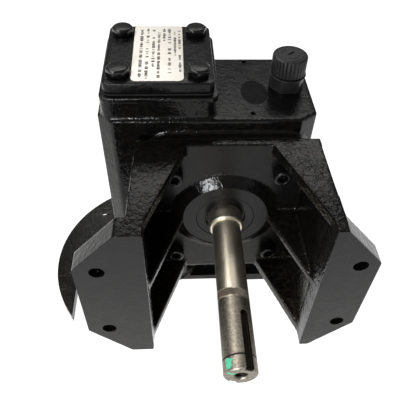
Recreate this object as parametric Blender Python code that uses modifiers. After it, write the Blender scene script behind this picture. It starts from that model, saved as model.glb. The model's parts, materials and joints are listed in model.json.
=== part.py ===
"""Right-angle helical-bevel gearbox with a winged output flange and a relieved motor flange.

Frame: the output shaft turns on an axis parallel to Y and points along -Y, and +Z is up. Sizes are in
millimetres from the datum, where the output axis meets the joint face between gearcase and output
flange. place() turns them into Blender's metres, with the origin in the middle of the underside of the
whole gearbox's box, at FRAME_ORIGIN from the datum.
"""

import math

import bmesh
import bpy
from mathutils import Matrix, Vector

MM = 0.001
FRAME_ORIGIN = (-48.0, 11.5, -194.0)
FIT = 0.3           # gap kept between pieces that touch or run in each other
ROLLER_PLAY = 0.8   # gap between a roller and its races, which are many-sided

# Gearcase
CASE_LEFT, CASE_RIGHT = -126.0, 87.5
CASE_FRONT, CASE_BACK = 10.0, 122.0
CASE_BOTTOM, CASE_TOP = -110.0, 110.0
CASE_FRONT_CHAMFER_LEFT = (14.0, 12.0)
CASE_FRONT_CHAMFER_RIGHT = (17.0, 12.0)
CASE_BACK_CHAMFER = 12.0
WALL = 9.0
CAVITY_BOTTOM, TOWER_CAVITY_BOTTOM, TOWER_ROOF = -96.0, 90.0, 16.0
FRONT_PAD_HALF = (82.0, 96.0)
FRONT_PAD_CORNER = 24.0
TOWER_X, TOWER_Y = (-122.0, -14.0), (13.0, 121.0)
TOWER_TOP, RIM_TOP = 131.0, 136.0
TOWER_CORNER, RIM_CORNER = 10.0, 8.0
RIM_X, RIM_Y = (-121.0, -11.0), (9.5, 124.0)
HATCH_RADIUS = 42.0
REAR_BOSS_FRONT, OUTPUT_BOSS_RADIUS = 97.0, 38.0
INTERMEDIATE_BOSS_RADIUS, FRONT_BOSS_BACK = 30.0, 27.0
BOSS_ROOT = 3.0     # how far each boss runs into the wall that carries it
LIFTING_HOLES, LIFTING_HOLE_RADIUS = ((24.0, 21.5), (24.5, 114.5)), 2.4
LIFTING_HOLE_DEPTH = 7.5
OVAL_XY, OVAL_RADIUS, OVAL_STRETCH, OVAL_DEPTH = (29.0, 57.0), 13.5, 1.55, 1.0

# Inspection cover
COVER_X, COVER_Y = (-117.0, -15.0), (14.0, 120.0)
COVER_THICK, COVER_CORNER = 11.0, 6.0
GASKET_THICK = 0.8
COVER_BOLT_X, COVER_BOLT_Y = (-103.0, -29.0), (30.5, 104.5)
NAMEPLATE_X, NAMEPLATE_Y = (-91.0, -43.0), (18.0, 118.0)
NAMEPLATE_THICK, NAMEPLATE_CORNER = 0.8, 4.0
COVER_CHAMFER = 1.2
BOLT_TURNS = (6.0, 22.0, 2.0, 12.0)     # degrees that each bolt head stopped at when tightened

# Fasteners: thread diameter, head size across flats or diameter, head height
M12_HEX = (12.0, 19.0, 7.5)
M12_CAP = (12.0, 18.0, 12.0)
M10_CAP = (10.0, 16.0, 10.0)
CLEARANCE = 0.8     # added to a thread's radius in the hole it passes through
M12_GRIP, M10_GRIP = 25.0, 22.0     # length under the head
FLANGE_THREAD_DEPTH, COVER_THREAD_DEPTH, ADAPTER_THREAD_DEPTH = 17.0, 14.0, 11.0
HEX_CORNER_FALL = 2.2   # how far a hexagon head's corners are turned off
SOCKET_WIDTH, SOCKET_BOTTOM = 0.46, 0.45    # a hexagon socket's corner and floor, per thread and height
PAST = 5.0          # how far a cutter runs beyond the face that it opens
LAP = 0.01          # how far one solid starts inside another that it is joined to

# Output flange: wing sizes are (left, right), since the left pad is the wider one
PLATE_FRONT, PLATE_HALF = -9.0, (90.0, 96.0)
PAD_FRONT, PAD_BACK = -118.0, -97.0
PAD_INNER = 79.0
PAD_CHAMFER_X = (102.0, 88.4)
PAD_OUTER = (142.0, 128.0)
PAD_CHAMFER_Z = 51.5
PAD_HOLE_X, PAD_HOLE_Z, PAD_HOLE_RADIUS = (121.0, 110.0), 48.0, 7.0
WALL_AT_PLATE, WALL_AT_PAD = (90.0, 88.0), (94.0, 89.5)
WING_WALL = 10.0
WEB_INNER_EDGE = ((42.0, -9.5), (78.4, -102.0))     # (x, y) at the plate, and just inside the pad
WEB_THICK, RIB_THICK = 12.0, 8.0
FLANGE_SCREW_X, FLANGE_SCREW_Z = 54.0, 61.0
BOSS_FACE, BOSS_RADIUS, BOSS_BASE_RADIUS = -16.0, 45.0, 57.0
PLATE_CORNER = 3.0
WEB_STEP = 12.0     # from a pad's back to where its webs meet it
SEAL_RADIUS, SEAL_POCKET_RADIUS, SEAL_LIP_RADIUS = 31.0, 24.0, 22.0
SEAL_BACK, SEAL_FACE, SEAL_LIP = 8.3, 15.7, (10.0, 12.5)   # distances in front of the joint face

# Output shaft and its stations along Y
SHAFT_END, SHOULDER = -193.0, -31.0
SHAFT_RADIUS, JOURNAL_RADIUS = 15.0, 18.0
FRONT_SEAT_RADIUS, COLLAR_RADIUS, WHEEL_SEAT_RADIUS, REAR_SEAT_RADIUS = 20.0, 26.0, 21.0, 15.0
FRONT_SEAT_END, COLLAR_END, WHEEL_SEAT_END, SHAFT_BACK = 20.0, 29.0, 51.0, 115.0
END_CHAMFER, SHOULDER_CHAMFER = 1.5, 1.2
KEYWAY_WIDTH, KEYWAY_DEPTH, KEYWAY_START = 8.0, 4.0, -137.0
KEYWAY_ANGLE = 62.0     # degrees from +X towards +Z; the second keyway is opposite
GROOVE_Y, GROOVE_WIDTH, GROOVE_DEPTH = -180.5, 1.6, 0.9
CENTRE_HOLE_RADIUS, CENTRE_HOLE_DEPTH = 5.0, 24.0
SLEEVE_RADIUS, SLEEVE_Y = 21.0, (51.5, 98.6)

# Keys: half width, from and to along the shaft, base and top above the shaft's axis
WHEEL_KEY = (6.0, 31.0, 48.0, 16.5, 24.0)
CROWN_KEY = (4.0, 82.0, 94.0, 9.0, 16.0)

# Gears
SPUR_MODULE, WHEEL_TEETH, SPUR_PINION_TEETH = 2.0, 56, 18
WHEEL_Y, SPUR_PINION_Y = (29.5, 50.0), (28.0, 52.0)
BEVEL_MODULE, CROWN_TEETH, BEVEL_PINION_TEETH = 2.5, 32, 16
BEVEL_FACE = 12.0
BACKLASH = 0.35     # taken off each tooth's thickness
PRESSURE_ANGLE = math.radians(20.0)
INPUT_Y = 66.0      # where the input axis crosses the intermediate axis
INTERMEDIATE_X = -SPUR_MODULE * (WHEEL_TEETH + SPUR_PINION_TEETH) / 2
CROWN_BACK_Y, CROWN_BACK_RADIUS = 96.0, 30.0
CROWN_DISH_RADIUS, CROWN_DISH_DEPTH = 22.0, 12.3
WHEEL_WEB_RADII, WHEEL_WEB_DEPTH = (30.0, 47.0), 5.0

# Intermediate shaft: the radius of each step, and where each step ends along Y
INTERMEDIATE_START = 12.8
INTERMEDIATE_STEPS = ((10.0, 27.2), (14.0, 70.0), (16.0, 77.0), (13.0, 97.0), (10.0, 114.0))
CROWN_SEAT_RADIUS = 13.0

# Bearings: bore radius, outer radius, from, to along the axis
OUTPUT_FRONT_BEARING = (20.0, 40.0, 1.5, 19.5)
OUTPUT_REAR_BEARING = (15.0, 31.0, 99.0, 115.0)
INTERMEDIATE_FRONT_BEARING = (10.0, 23.5, 12.8, 26.8)
INTERMEDIATE_REAR_BEARING = (10.0, 23.5, 100.0, 114.0)
INPUT_UPPER_BEARING = (25.0, 40.0, -130.0, -114.0)
INPUT_LOWER_BEARING = (25.0, 40.0, -166.0, -150.0)
ROLLERS = 8
RACE_SHARE = 3.4    # a race's thickness goes this many times into the space from bore to outside
CAGE_SHARE = 0.4    # the cage's thickness as a part of a roller's
ROLLER_FLAT, CAGE_START = 0.12, 0.28    # parts of a roller's spacing, from its middle
ROLLER_INSET = 1.5
END_CAP_Y = (115.8, 121.5)

# Motor adapter and hollow input shaft
ADAPTER_TOP_HALF, ADAPTER_TOP_THICK, NECK_RADIUS = 52.0, 13.0, 46.0
ADAPTER_SCREW_OFFSET = 41.0
MOTOR_FLANGE_RADIUS, MOTOR_FLANGE_Z = 150.0, (-194.0, -180.0)
SPIGOT_RADIUS, SPIGOT_DEPTH = 115.0, 5.0
MOTOR_HOLE_CIRCLE, MOTOR_HOLE_RADIUS, MOTOR_HOLE_ANGLES = 132.5, 7.0, (45.0, 135.0)
RELIEF_X, RELIEF_Y = -193.0, 34.0
MOTOR_BORE_RADIUS, MOTOR_BORE_TOP = 19.0, -112.0
MOTOR_KEY_HALF_WIDTH, MOTOR_KEY_DEPTH = 5.0, 3.3
INPUT_SHAFT_BOTTOM, INPUT_SLEEVE_TOP = -188.0, -113.0
INPUT_STEM_TOP, INPUT_STEM_BOTTOM = -44.0, -108.0
INPUT_STEM_RADIUS, INPUT_SLEEVE_RADIUS = 14.0, 25.0
PINION_BACK, PINION_BACK_RADIUS = 46.0, 17.0    # below the input and intermediate axes' crossing
ADAPTER_TOP_CORNER = 12.0
INPUT_SEAL_OUTER, INPUT_SEAL_WEB = 40.0, (28.0, 30.0)
INPUT_SEAL_Z, INPUT_SEAL_LIP = (-177.0, -168.5), (-173.5, -171.0)

# Breather and plugs
BREATHER_XY = (63.5, 69.5)
BREATHER_COLLAR_RADIUS, BREATHER_COLLAR_TOP = 18.8, 125.5
BREATHER_CAP_RADIUS, BREATHER_CAP_TOP = 17.6, 146.0
PLUG_Y, LEVEL_Z, DRAIN_Z = 66.0, 20.0, -78.0
PLUG_THREAD_RADIUS, PLUG_CORNER, PLUG_HEIGHT = 8.0, 12.7, 9.0
PLUG_WASHER_RADIUS, PLUG_WASHER_THICK = 14.0, 2.0
BREATHER_THREAD_RADIUS, BREATHER_THREAD_BOTTOM = 9.0, 99.0
BREATHER_NECK_RADIUS, BREATHER_STEM_RADIUS = 13.0, 6.0
CAP_RIBS, CAP_RIB_DEPTH, CAP_ROOF = 28, 0.9, 8.0


def clear_scene():
    for thing in list(bpy.data.objects):
        bpy.data.objects.remove(thing, do_unlink=True)


def new_collection(name):
    collection = bpy.data.collections.new(name)
    bpy.context.scene.collection.children.link(collection)
    return collection


def make_material(name, colour, roughness, metallic):
    material = bpy.data.materials.new(name)
    material.use_nodes = True
    shader = material.node_tree.nodes["Principled BSDF"]
    shader.inputs["Base Color"].default_value = (*colour, 1.0)
    shader.inputs["Roughness"].default_value = roughness
    shader.inputs["Metallic"].default_value = metallic
    material.diffuse_color = (*colour, 1.0)
    return material


clear_scene()
PARTS = new_collection("right_angle_gearbox")
CUTTERS = new_collection("cutters")
PAINT = make_material("black_paint", (0.016, 0.016, 0.017), 0.38, 0.0)
STEEL = make_material("ground_steel", (0.46, 0.44, 0.41), 0.3, 1.0)
BEARING = make_material("bearing_steel", (0.6, 0.6, 0.6), 0.22, 1.0)
SCREW = make_material("blackened_steel", (0.03, 0.03, 0.032), 0.4, 0.7)
RUBBER = make_material("nitrile_rubber", (0.02, 0.02, 0.02), 0.6, 0.0)
PLASTIC = make_material("black_plastic", (0.02, 0.02, 0.022), 0.42, 0.0)
PAPER = make_material("gasket_paper", (0.25, 0.22, 0.17), 0.8, 0.0)
LABEL = make_material("label_white", (0.85, 0.83, 0.78), 0.45, 0.0)

# Turns local +Z into the named world direction: up, +Y, +X, and -Y for FACING.
UPRIGHT = Matrix.Identity(3)
ALONG_Y = Matrix.Rotation(-math.pi / 2, 3, "X")
ALONG_X = Matrix.Rotation(math.pi / 2, 3, "Y")
FACING = Matrix.Rotation(math.pi / 2, 3, "X")

ORIGIN = (0.0, 0.0, 0.0)
INTERMEDIATE_CENTRE = (INTERMEDIATE_X, 0.0, 0.0)
INPUT_CENTRE = (INTERMEDIATE_X, INPUT_Y, 0.0)


def place(thing, centre, turn):
    """Puts an object's local origin at a centre given from the datum, and turns it."""
    offset = Vector(centre) - Vector(FRAME_ORIGIN)
    thing.matrix_world = Matrix.Translation(offset * MM) @ turn.to_4x4()


def add_mesh(name, mesh, material):
    """Links a mesh as a visible part, or as a hidden tool where it has no material."""
    thing = bpy.data.objects.new(name, mesh)
    if material:
        PARTS.objects.link(thing)
        mesh.materials.append(material)
    else:
        CUTTERS.objects.link(thing)
        thing.hide_render = True
        thing.display_type = "WIRE"
    return thing


def box(name, low, high, material=None):
    mesh = bpy.data.meshes.new(name)
    shape = bmesh.new()
    bmesh.ops.create_cube(shape, size=1.0)
    size = [(b - a) * MM for a, b in zip(low, high)]
    bmesh.ops.scale(shape, vec=size, verts=shape.verts)
    shape.to_mesh(mesh)
    shape.free()
    thing = add_mesh(name, mesh, material)
    place(thing, [(a + b) / 2 for a, b in zip(low, high)], UPRIGHT)
    return thing


def box_at(name, centre, low, high, material=None):
    """A box whose two corners are given from a centre."""
    near = [a + b for a, b in zip(centre, low)]
    far = [a + b for a, b in zip(centre, high)]
    return box(name, near, far, material)


def box_around_key(name, centre, key, gap, material=None):
    """A key's box on the shaft through centre, made larger all round by a gap."""
    half, start, end, base, top = key
    low = (-half - gap, start - gap, base - gap)
    return box_at(name, centre, low, (half + gap, end + gap, top + gap), material)


def cylinder(name, radius, start, end, centre, turn, material=None, segments=24, end_radius=None):
    """A cylinder or cone along local Z from start to end, about an axis through centre."""
    mesh = bpy.data.meshes.new(name)
    shape = bmesh.new()
    last = radius if end_radius is None else end_radius
    bmesh.ops.create_cone(
        shape, cap_ends=True, segments=segments, radius1=radius * MM, radius2=last * MM,
        depth=(end - start) * MM, matrix=Matrix.Translation((0, 0, (start + end) / 2 * MM)),
    )
    shape.to_mesh(mesh)
    shape.free()
    thing = add_mesh(name, mesh, material)
    place(thing, centre, turn)
    return thing


def turned(name, profile, centre, turn, material=None, steps=32):
    """A profile of (radius, height) spun about local Z. A closed profile, for a ring, ends where it began."""
    mesh = bpy.data.meshes.new(name)
    closed = profile[0] == profile[-1]
    points = profile[:-1] if closed else profile
    edges = [(i, i + 1) for i in range(len(points) - 1)]
    if closed:
        edges.append((len(points) - 1, 0))
    mesh.from_pydata([(r * MM, 0, h * MM) for r, h in points], edges, [])
    thing = add_mesh(name, mesh, material)
    spin = thing.modifiers.new("Spin", "SCREW")
    spin.angle = 2 * math.pi
    spin.steps = steps
    spin.render_steps = steps
    spin.use_merge_vertices = True
    spin.merge_threshold = 0.00001
    spin.use_smooth_shade = False
    place(thing, centre, turn)
    return thing


def ring(name, inner, outer, start, end, centre, turn, material=None, steps=24):
    profile = [(outer, end), (outer, start), (inner, start), (inner, end), (outer, end)]
    return turned(name, profile, centre, turn, material, steps)


def extruded(name, outlines, start, end, centre, turn, material=None):
    """Flat outlines in local XY, the first the outer one and the rest holes, from start to end along Z."""
    curve = bpy.data.curves.new(name, "CURVE")
    curve.dimensions = "2D"
    curve.fill_mode = "BOTH"
    curve.extrude = (end - start) / 2 * MM
    for outline in outlines:
        spline = curve.splines.new("POLY")
        spline.points.add(len(outline) - 1)
        for point, (x, y) in zip(spline.points, outline):
            point.co = (x * MM, y * MM, 0, 1)
        spline.use_cyclic_u = True
    flat = bpy.data.objects.new(name + "_curve", curve)
    bpy.context.scene.collection.objects.link(flat)
    graph = bpy.context.evaluated_depsgraph_get()
    mesh = bpy.data.meshes.new_from_object(flat.evaluated_get(graph))
    bpy.data.objects.remove(flat, do_unlink=True)
    shape = bmesh.new()
    shape.from_mesh(mesh)
    bmesh.ops.remove_doubles(shape, verts=shape.verts, dist=0.000001)
    bmesh.ops.translate(shape, verts=shape.verts, vec=(0, 0, (start + end) / 2 * MM))
    bmesh.ops.recalc_face_normals(shape, faces=shape.faces)
    shape.to_mesh(mesh)
    shape.free()
    mesh.name = name
    thing = add_mesh(name, mesh, material)
    place(thing, centre, turn)
    return thing


def combine(target, tools, operation):
    for tool in tools:
        change = target.modifiers.new(tool.name, "BOOLEAN")
        change.operation = operation
        change.solver = "EXACT"
        change.object = tool


def cut(target, *tools):
    combine(target, tools, "DIFFERENCE")


def join(target, *tools):
    combine(target, tools, "UNION")


def chamfer_edges(thing, width, angle=30.0):
    edge = thing.modifiers.new("Chamfer", "BEVEL")
    edge.width = width * MM
    edge.segments = 1
    edge.limit_method = "ANGLE"
    edge.angle_limit = math.radians(angle)


def circle(radius, count, centre=(0.0, 0.0), start=0.0):
    return [
        (
            centre[0] + radius * math.cos(start + 2 * math.pi * i / count),
            centre[1] + radius * math.sin(start + 2 * math.pi * i / count),
        )
        for i in range(count)
    ]


def rounded_rectangle(low, high, radius, steps=3):
    """An anticlockwise outline whose corners are arcs of the given radius."""
    corners = (
        (high[0] - radius, high[1] - radius, 0.0),
        (low[0] + radius, high[1] - radius, 90.0),
        (low[0] + radius, low[1] + radius, 180.0),
        (high[0] - radius, low[1] + radius, 270.0),
    )
    outline = []
    for x, y, first in corners:
        for step in range(steps + 1):
            angle = math.radians(first + 90.0 * step / steps)
            outline.append((x + radius * math.cos(angle), y + radius * math.sin(angle)))
    return outline


def mirrored(outline, sign):
    return [(sign * x, y) for x, y in outline]


def involute(angle):
    return math.tan(angle) - angle


def half_tooth_angle(radius, pitch_radius, module):
    """Half the angle that an involute tooth covers at a radius. Below the base circle it runs radially."""
    base = pitch_radius * math.cos(PRESSURE_ANGLE)
    pressure = math.acos(min(1.0, base / max(radius, base)))
    at_pitch = (math.pi * module / 2 - BACKLASH) / (2 * pitch_radius)
    return at_pitch + involute(PRESSURE_ANGLE) - involute(pressure)


def tooth_heights(module):
    """Heights above the pitch circle where a flank has a point: root, near the pitch circle, and tip."""
    return (-1.2 * module, 0.05 * module, 0.9 * module)


def spur_outline(teeth, module, first_tooth):
    pitch_radius = module * teeth / 2
    outline = []
    for tooth in range(teeth):
        middle = first_tooth + 2 * math.pi * tooth / teeth
        flank = [
            (pitch_radius + h, half_tooth_angle(pitch_radius + h, pitch_radius, module))
            for h in tooth_heights(module)
        ]
        for side, points in ((-1, flank), (1, reversed(flank))):
            for radius, half in points:
                angle = middle + side * half
                outline.append((radius * math.cos(angle), radius * math.sin(angle)))
    return outline


def bevel_tooth_ends(teeth, cone, cone_distance, first_tooth):
    """The outer ends of a bevel gear's teeth, as points on its back cone."""
    module = BEVEL_MODULE
    pitch_radius = module * teeth / 2
    virtual_radius = pitch_radius / math.cos(cone)
    flank = []
    for height in tooth_heights(module):
        reach = virtual_radius + height
        radius = pitch_radius + height * math.cos(cone)
        half = half_tooth_angle(reach, virtual_radius, module) * reach / radius
        depth = cone_distance * math.cos(cone) - height * math.sin(cone)
        flank.append((radius, half, depth))
    points = []
    for tooth in range(teeth):
        middle = first_tooth + 2 * math.pi * tooth / teeth
        for side, edge in ((-1, flank), (1, reversed(flank))):
            for radius, half, depth in edge:
                angle = middle + side * half
                points.append((radius * math.cos(angle), radius * math.sin(angle), depth))
    return points


def bevel_gear(name, teeth, mate_teeth, first_tooth, back, centre, turn, material):
    """A straight bevel gear whose pitch cone has its apex at the local origin and opens along +Z.

    Each tooth is the involute of the gear's back cone, drawn once at the outer end and once, scaled
    towards the apex, at the inner end. The body ends flat: back is its distance from the apex and
    its radius there.
    """
    back_distance, back_radius = back
    cone = math.atan2(teeth, mate_teeth)
    cone_distance = BEVEL_MODULE * teeth / 2 / math.sin(cone)
    outer = bevel_tooth_ends(teeth, cone, cone_distance, first_tooth)
    inner_scale = (cone_distance - BEVEL_FACE) / cone_distance
    inner = [tuple(value * inner_scale for value in point) for point in outer]
    flat = []
    for x, y, _ in outer:
        spread = back_radius / math.hypot(x, y)
        flat.append((x * spread, y * spread, back_distance))
    shape = bmesh.new()
    rings = [[shape.verts.new(Vector(p) * MM) for p in points] for points in (inner, outer, flat)]
    front_centre = shape.verts.new((0, 0, min(p[2] for p in inner) * MM))
    back_centre = shape.verts.new((0, 0, back_distance * MM))
    count = len(outer)
    for i in range(count):
        j = (i + 1) % count
        shape.faces.new((front_centre, rings[0][j], rings[0][i]))
        for near, far in ((rings[0], rings[1]), (rings[1], rings[2])):
            shape.faces.new((near[i], near[j], far[j], far[i]))
        shape.faces.new((back_centre, rings[2][i], rings[2][j]))
    bmesh.ops.recalc_face_normals(shape, faces=shape.faces)
    mesh = bpy.data.meshes.new(name)
    shape.to_mesh(mesh)
    shape.free()
    thing = add_mesh(name, mesh, material)
    place(thing, centre, turn)
    return thing


def roller_outline(inner, outer, side):
    """One edge of a roller cage: it swells out to each roller and narrows to the cage between them."""
    middle, roller = (inner + outer) / 2, (outer - inner) / 2 - ROLLER_PLAY
    cage = roller * CAGE_SHARE
    swell = [(-CAGE_START, cage), (-ROLLER_FLAT, roller), (ROLLER_FLAT, roller), (CAGE_START, cage)]
    outline = []
    for i in range(ROLLERS):
        for shift, half in swell:
            angle = 2 * math.pi * (i + shift) / ROLLERS
            radius = middle + side * half
            outline.append((radius * math.cos(angle), radius * math.sin(angle)))
    return outline


def bearing(name, sizes, centre, turn):
    """A rolling bearing as three pieces: outer race, rollers in their cage, and inner race."""
    bore, outside, start, end = sizes
    race = (outside - bore) / RACE_SHARE
    track_inner, track_outer = bore + FIT + race, outside - race
    ring(name + "_outer_race", track_outer, outside, start, end, centre, turn, BEARING)
    outlines = [roller_outline(track_inner, track_outer, side) for side in (1, -1)]
    low, high = start + ROLLER_INSET, end - ROLLER_INSET
    extruded(name + "_rollers", outlines, low, high, centre, turn, BEARING)
    ring(name + "_inner_race", bore + FIT, track_inner, start, end, centre, turn, BEARING)


def cap_screw(name, size, grip, seat, turn):
    """A socket-head screw that points along local +Z, with the underside of its head at the seat."""
    thread, head, height = size
    profile = [
        (0, grip), (thread / 2, grip), (thread / 2, 0), (head / 2, 0),
        (head / 2, -height + 1), (head / 2 - 1, -height), (0, -height),
    ]
    screw = turned(name, profile, seat, turn, SCREW, 12)
    corner = thread * SOCKET_WIDTH
    bottom = -height * SOCKET_BOTTOM
    cut(screw, cylinder(name + "_socket", corner, -height - PAST, bottom, seat, turn, segments=6))


def hex_bolt(name, size, grip, seat, angle):
    """A hexagon bolt standing head up, with the underside of its head at the seat."""
    thread, flats, height = size
    corner = flats / math.sqrt(3)
    spin = Matrix.Rotation(math.radians(angle), 3, "Z")
    head = cylinder(name, corner, 0, height, seat, spin, SCREW, segments=6)
    crown = [
        (0, height + 1), (flats / 2 - 2, height + 1), (corner + 2, height - HEX_CORNER_FALL),
        (corner + 2, -1), (0, -1),
    ]
    combine(head, [turned(name + "_top", crown, seat, UPRIGHT, steps=18)], "INTERSECT")
    join(head, cylinder(name + "_shank", thread / 2, -grip, height / 2, seat, UPRIGHT, segments=10))


# ---------------------------------------------------------------- gearcase


def gearcase():
    left_x, left_y = CASE_FRONT_CHAMFER_LEFT
    right_x, right_y = CASE_FRONT_CHAMFER_RIGHT
    plan = [
        (CASE_LEFT + left_x, CASE_FRONT), (CASE_RIGHT - right_x, CASE_FRONT),
        (CASE_RIGHT, CASE_FRONT + right_y), (CASE_RIGHT, CASE_BACK - CASE_BACK_CHAMFER),
        (CASE_RIGHT - CASE_BACK_CHAMFER, CASE_BACK), (CASE_LEFT + CASE_BACK_CHAMFER, CASE_BACK),
        (CASE_LEFT, CASE_BACK - CASE_BACK_CHAMFER), (CASE_LEFT, CASE_FRONT + left_y),
    ]
    case = extruded("gearcase", [plan], CASE_BOTTOM, CASE_TOP, ORIGIN, UPRIGHT, PAINT)
    tower = rounded_rectangle(*corners_of(TOWER_X, TOWER_Y), TOWER_CORNER, 2)
    rim = rounded_rectangle(*corners_of(RIM_X, RIM_Y), RIM_CORNER)
    half_x, half_z = FRONT_PAD_HALF
    pad = rounded_rectangle((-half_x, -half_z), (half_x, half_z), FRONT_PAD_CORNER)
    join(
        case,
        extruded("case_tower", [tower], CASE_TOP - PAST, TOWER_TOP, ORIGIN, UPRIGHT),
        extruded("case_rim", [rim], TOWER_TOP - LAP, RIM_TOP, ORIGIN, UPRIGHT),
        extruded("case_front_pad", [pad], 0, CASE_FRONT + PAST, ORIGIN, ALONG_Y),
    )
    hollow_case(case)
    drill_case(case)


def hollow_case(case):
    """Cuts the oil space, builds the bearing bosses inside it, and bores them."""
    left, right = CASE_LEFT + WALL, CASE_RIGHT - WALL
    front, back = CASE_FRONT + WALL + 1, CASE_BACK - WALL - 1
    roof = RIM_TOP - TOWER_ROOF
    cut(
        case,
        box("case_cavity", (left, front, CAVITY_BOTTOM), (right, back, CASE_TOP - WALL)),
        box(
            "tower_cavity", (TOWER_X[0] + WALL, front, TOWER_CAVITY_BOTTOM),
            (TOWER_X[1] - WALL, back, roof),
        ),
    )
    boss_back, boss_front = back + BOSS_ROOT, front - BOSS_ROOT
    start, radius, axis = REAR_BOSS_FRONT, INTERMEDIATE_BOSS_RADIUS, INTERMEDIATE_CENTRE
    join(
        case,
        cylinder("rear_boss", OUTPUT_BOSS_RADIUS, start, boss_back, ORIGIN, ALONG_Y),
        cylinder("rear_boss_2", radius, start, boss_back, axis, ALONG_Y),
        cylinder("front_boss", radius, boss_front, FRONT_BOSS_BACK, axis, ALONG_Y),
    )
    rear_start, rear_end = REAR_BOSS_FRONT - PAST, CASE_BACK + PAST
    output_front, output_rear = OUTPUT_FRONT_BEARING[1] + FIT, OUTPUT_REAR_BEARING[1] + FIT
    bore, pocket = INTERMEDIATE_REAR_BEARING[1] + FIT, INTERMEDIATE_FRONT_BEARING[2] - FIT
    pocket_end = FRONT_BOSS_BACK + PAST
    cut(
        case,
        cylinder("front_bore", output_front, -PAST, front + PAST, ORIGIN, ALONG_Y, segments=32),
        cylinder("rear_bore", output_rear, rear_start, rear_end, ORIGIN, ALONG_Y),
        cylinder("rear_bore_2", bore, rear_start, rear_end, axis, ALONG_Y),
        cylinder("front_bore_2", bore, pocket, pocket_end, axis, ALONG_Y),
        cylinder(
            "input_bore", INPUT_UPPER_BEARING[1] + FIT, CASE_BOTTOM - PAST, CAVITY_BOTTOM + PAST,
            INPUT_CENTRE, UPRIGHT, segments=32,
        ),
    )


def drill_case(case):
    """Cuts the hatch, the threaded holes and the blank oval in the top."""
    hatch, breather_axis = (*hatch_middle(), 0), (*BREATHER_XY, 0)
    inside, top = CASE_TOP - WALL - PAST, CASE_TOP + PAST
    breather_radius = BREATHER_THREAD_RADIUS + FIT
    cut(
        case,
        cylinder("hatch_hole", HATCH_RADIUS, inside, RIM_TOP + PAST, hatch, UPRIGHT, segments=32),
        cylinder("breather_hole", breather_radius, inside, top, breather_axis, UPRIGHT, segments=16),
    )
    plug_radius = PLUG_THREAD_RADIUS + FIT
    plug_start, plug_end = CASE_RIGHT - WALL - PAST, CASE_RIGHT + PAST
    for name, z in (("level_hole", LEVEL_Z), ("drain_hole", DRAIN_Z)):
        axis = (0, PLUG_Y, z)
        cut(case, cylinder(name, plug_radius, plug_start, plug_end, axis, ALONG_X, segments=16))
    m12, m10 = M12_HEX[0] / 2 + FIT, M10_CAP[0] / 2 + FIT
    cover_low, cover_high = RIM_TOP - COVER_THREAD_DEPTH, RIM_TOP + PAST
    adapter_low, adapter_high = CASE_BOTTOM - PAST, CASE_BOTTOM + ADAPTER_THREAD_DEPTH
    lifting_low = CASE_TOP - LIFTING_HOLE_DEPTH
    holes = []
    for x, z in flange_screw_places():
        holes.append((m12, -PAST, FLANGE_THREAD_DEPTH, (x, 0, z), ALONG_Y))
    for x, y in cover_bolt_places():
        holes.append((m12, cover_low, cover_high, (x, y, 0), UPRIGHT))
    for x, y in adapter_screw_places():
        holes.append((m10, adapter_low, adapter_high, (x, y, 0), UPRIGHT))
    for x, y in LIFTING_HOLES:
        holes.append((LIFTING_HOLE_RADIUS, lifting_low, top, (x, y, 0), UPRIGHT))
    for i, (radius, start, end, centre, turn) in enumerate(holes):
        cut(case, cylinder(f"case_hole_{i}", radius, start, end, centre, turn, segments=12))
    oval = cylinder(
        "blank_oval", OVAL_RADIUS, CASE_TOP - OVAL_DEPTH, CASE_TOP + 1, (*OVAL_XY, 0), UPRIGHT
    )
    oval.matrix_world = oval.matrix_world @ Matrix.Diagonal((1, OVAL_STRETCH, 1, 1))
    cut(case, oval)


def corners_of(xs, ys):
    return (xs[0], ys[0]), (xs[1], ys[1])


def hatch_middle():
    return sum(COVER_BOLT_X) / 2, sum(COVER_BOLT_Y) / 2


def flange_screw_places():
    x, z = FLANGE_SCREW_X, FLANGE_SCREW_Z
    return ((-x, z), (x, z), (-x, -z), (x, -z))


def cover_bolt_places():
    return [(x, y) for y in COVER_BOLT_Y for x in COVER_BOLT_X]


def adapter_screw_places():
    x, y, away = INTERMEDIATE_X, INPUT_Y, ADAPTER_SCREW_OFFSET
    return [(x + i * away, y + j * away) for i in (-1, 1) for j in (-1, 1)]


# ---------------------------------------------------------------- cover, nameplate, breather, plugs


def cover():
    gasket_low, gasket_high = RIM_TOP + FIT, RIM_TOP + FIT + GASKET_THICK
    low = gasket_high + FIT
    high = low + COVER_THICK
    outline = rounded_rectangle(*corners_of(COVER_X, COVER_Y), COVER_CORNER)
    hole_radius = M12_HEX[0] / 2 + CLEARANCE
    holes = [circle(hole_radius, 8, spot) for spot in cover_bolt_places()]
    hatch = circle(HATCH_RADIUS + 1, 20, hatch_middle())
    outlines = [outline, hatch, *holes]
    extruded("cover_gasket", outlines, gasket_low, gasket_high, ORIGIN, UPRIGHT, PAPER)
    plate = extruded("inspection_cover", [outline], low, high, ORIGIN, UPRIGHT, PAINT)
    chamfer_edges(plate, COVER_CHAMFER)
    past = (low - PAST, high + PAST)
    for i, (x, y) in enumerate(cover_bolt_places()):
        cut(plate, cylinder(f"cover_hole_{i}", hole_radius, *past, (x, y, 0), UPRIGHT, segments=12))
        seat = (x, y, high + FIT)
        hex_bolt(f"cover_bolt_{i + 1}", M12_HEX, M12_GRIP, seat, BOLT_TURNS[i])
    label = rounded_rectangle(*corners_of(NAMEPLATE_X, NAMEPLATE_Y), NAMEPLATE_CORNER)
    label_low = high + FIT
    label_high = label_low + NAMEPLATE_THICK
    extruded("nameplate", [label], label_low, label_high, ORIGIN, UPRIGHT, LABEL)


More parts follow.
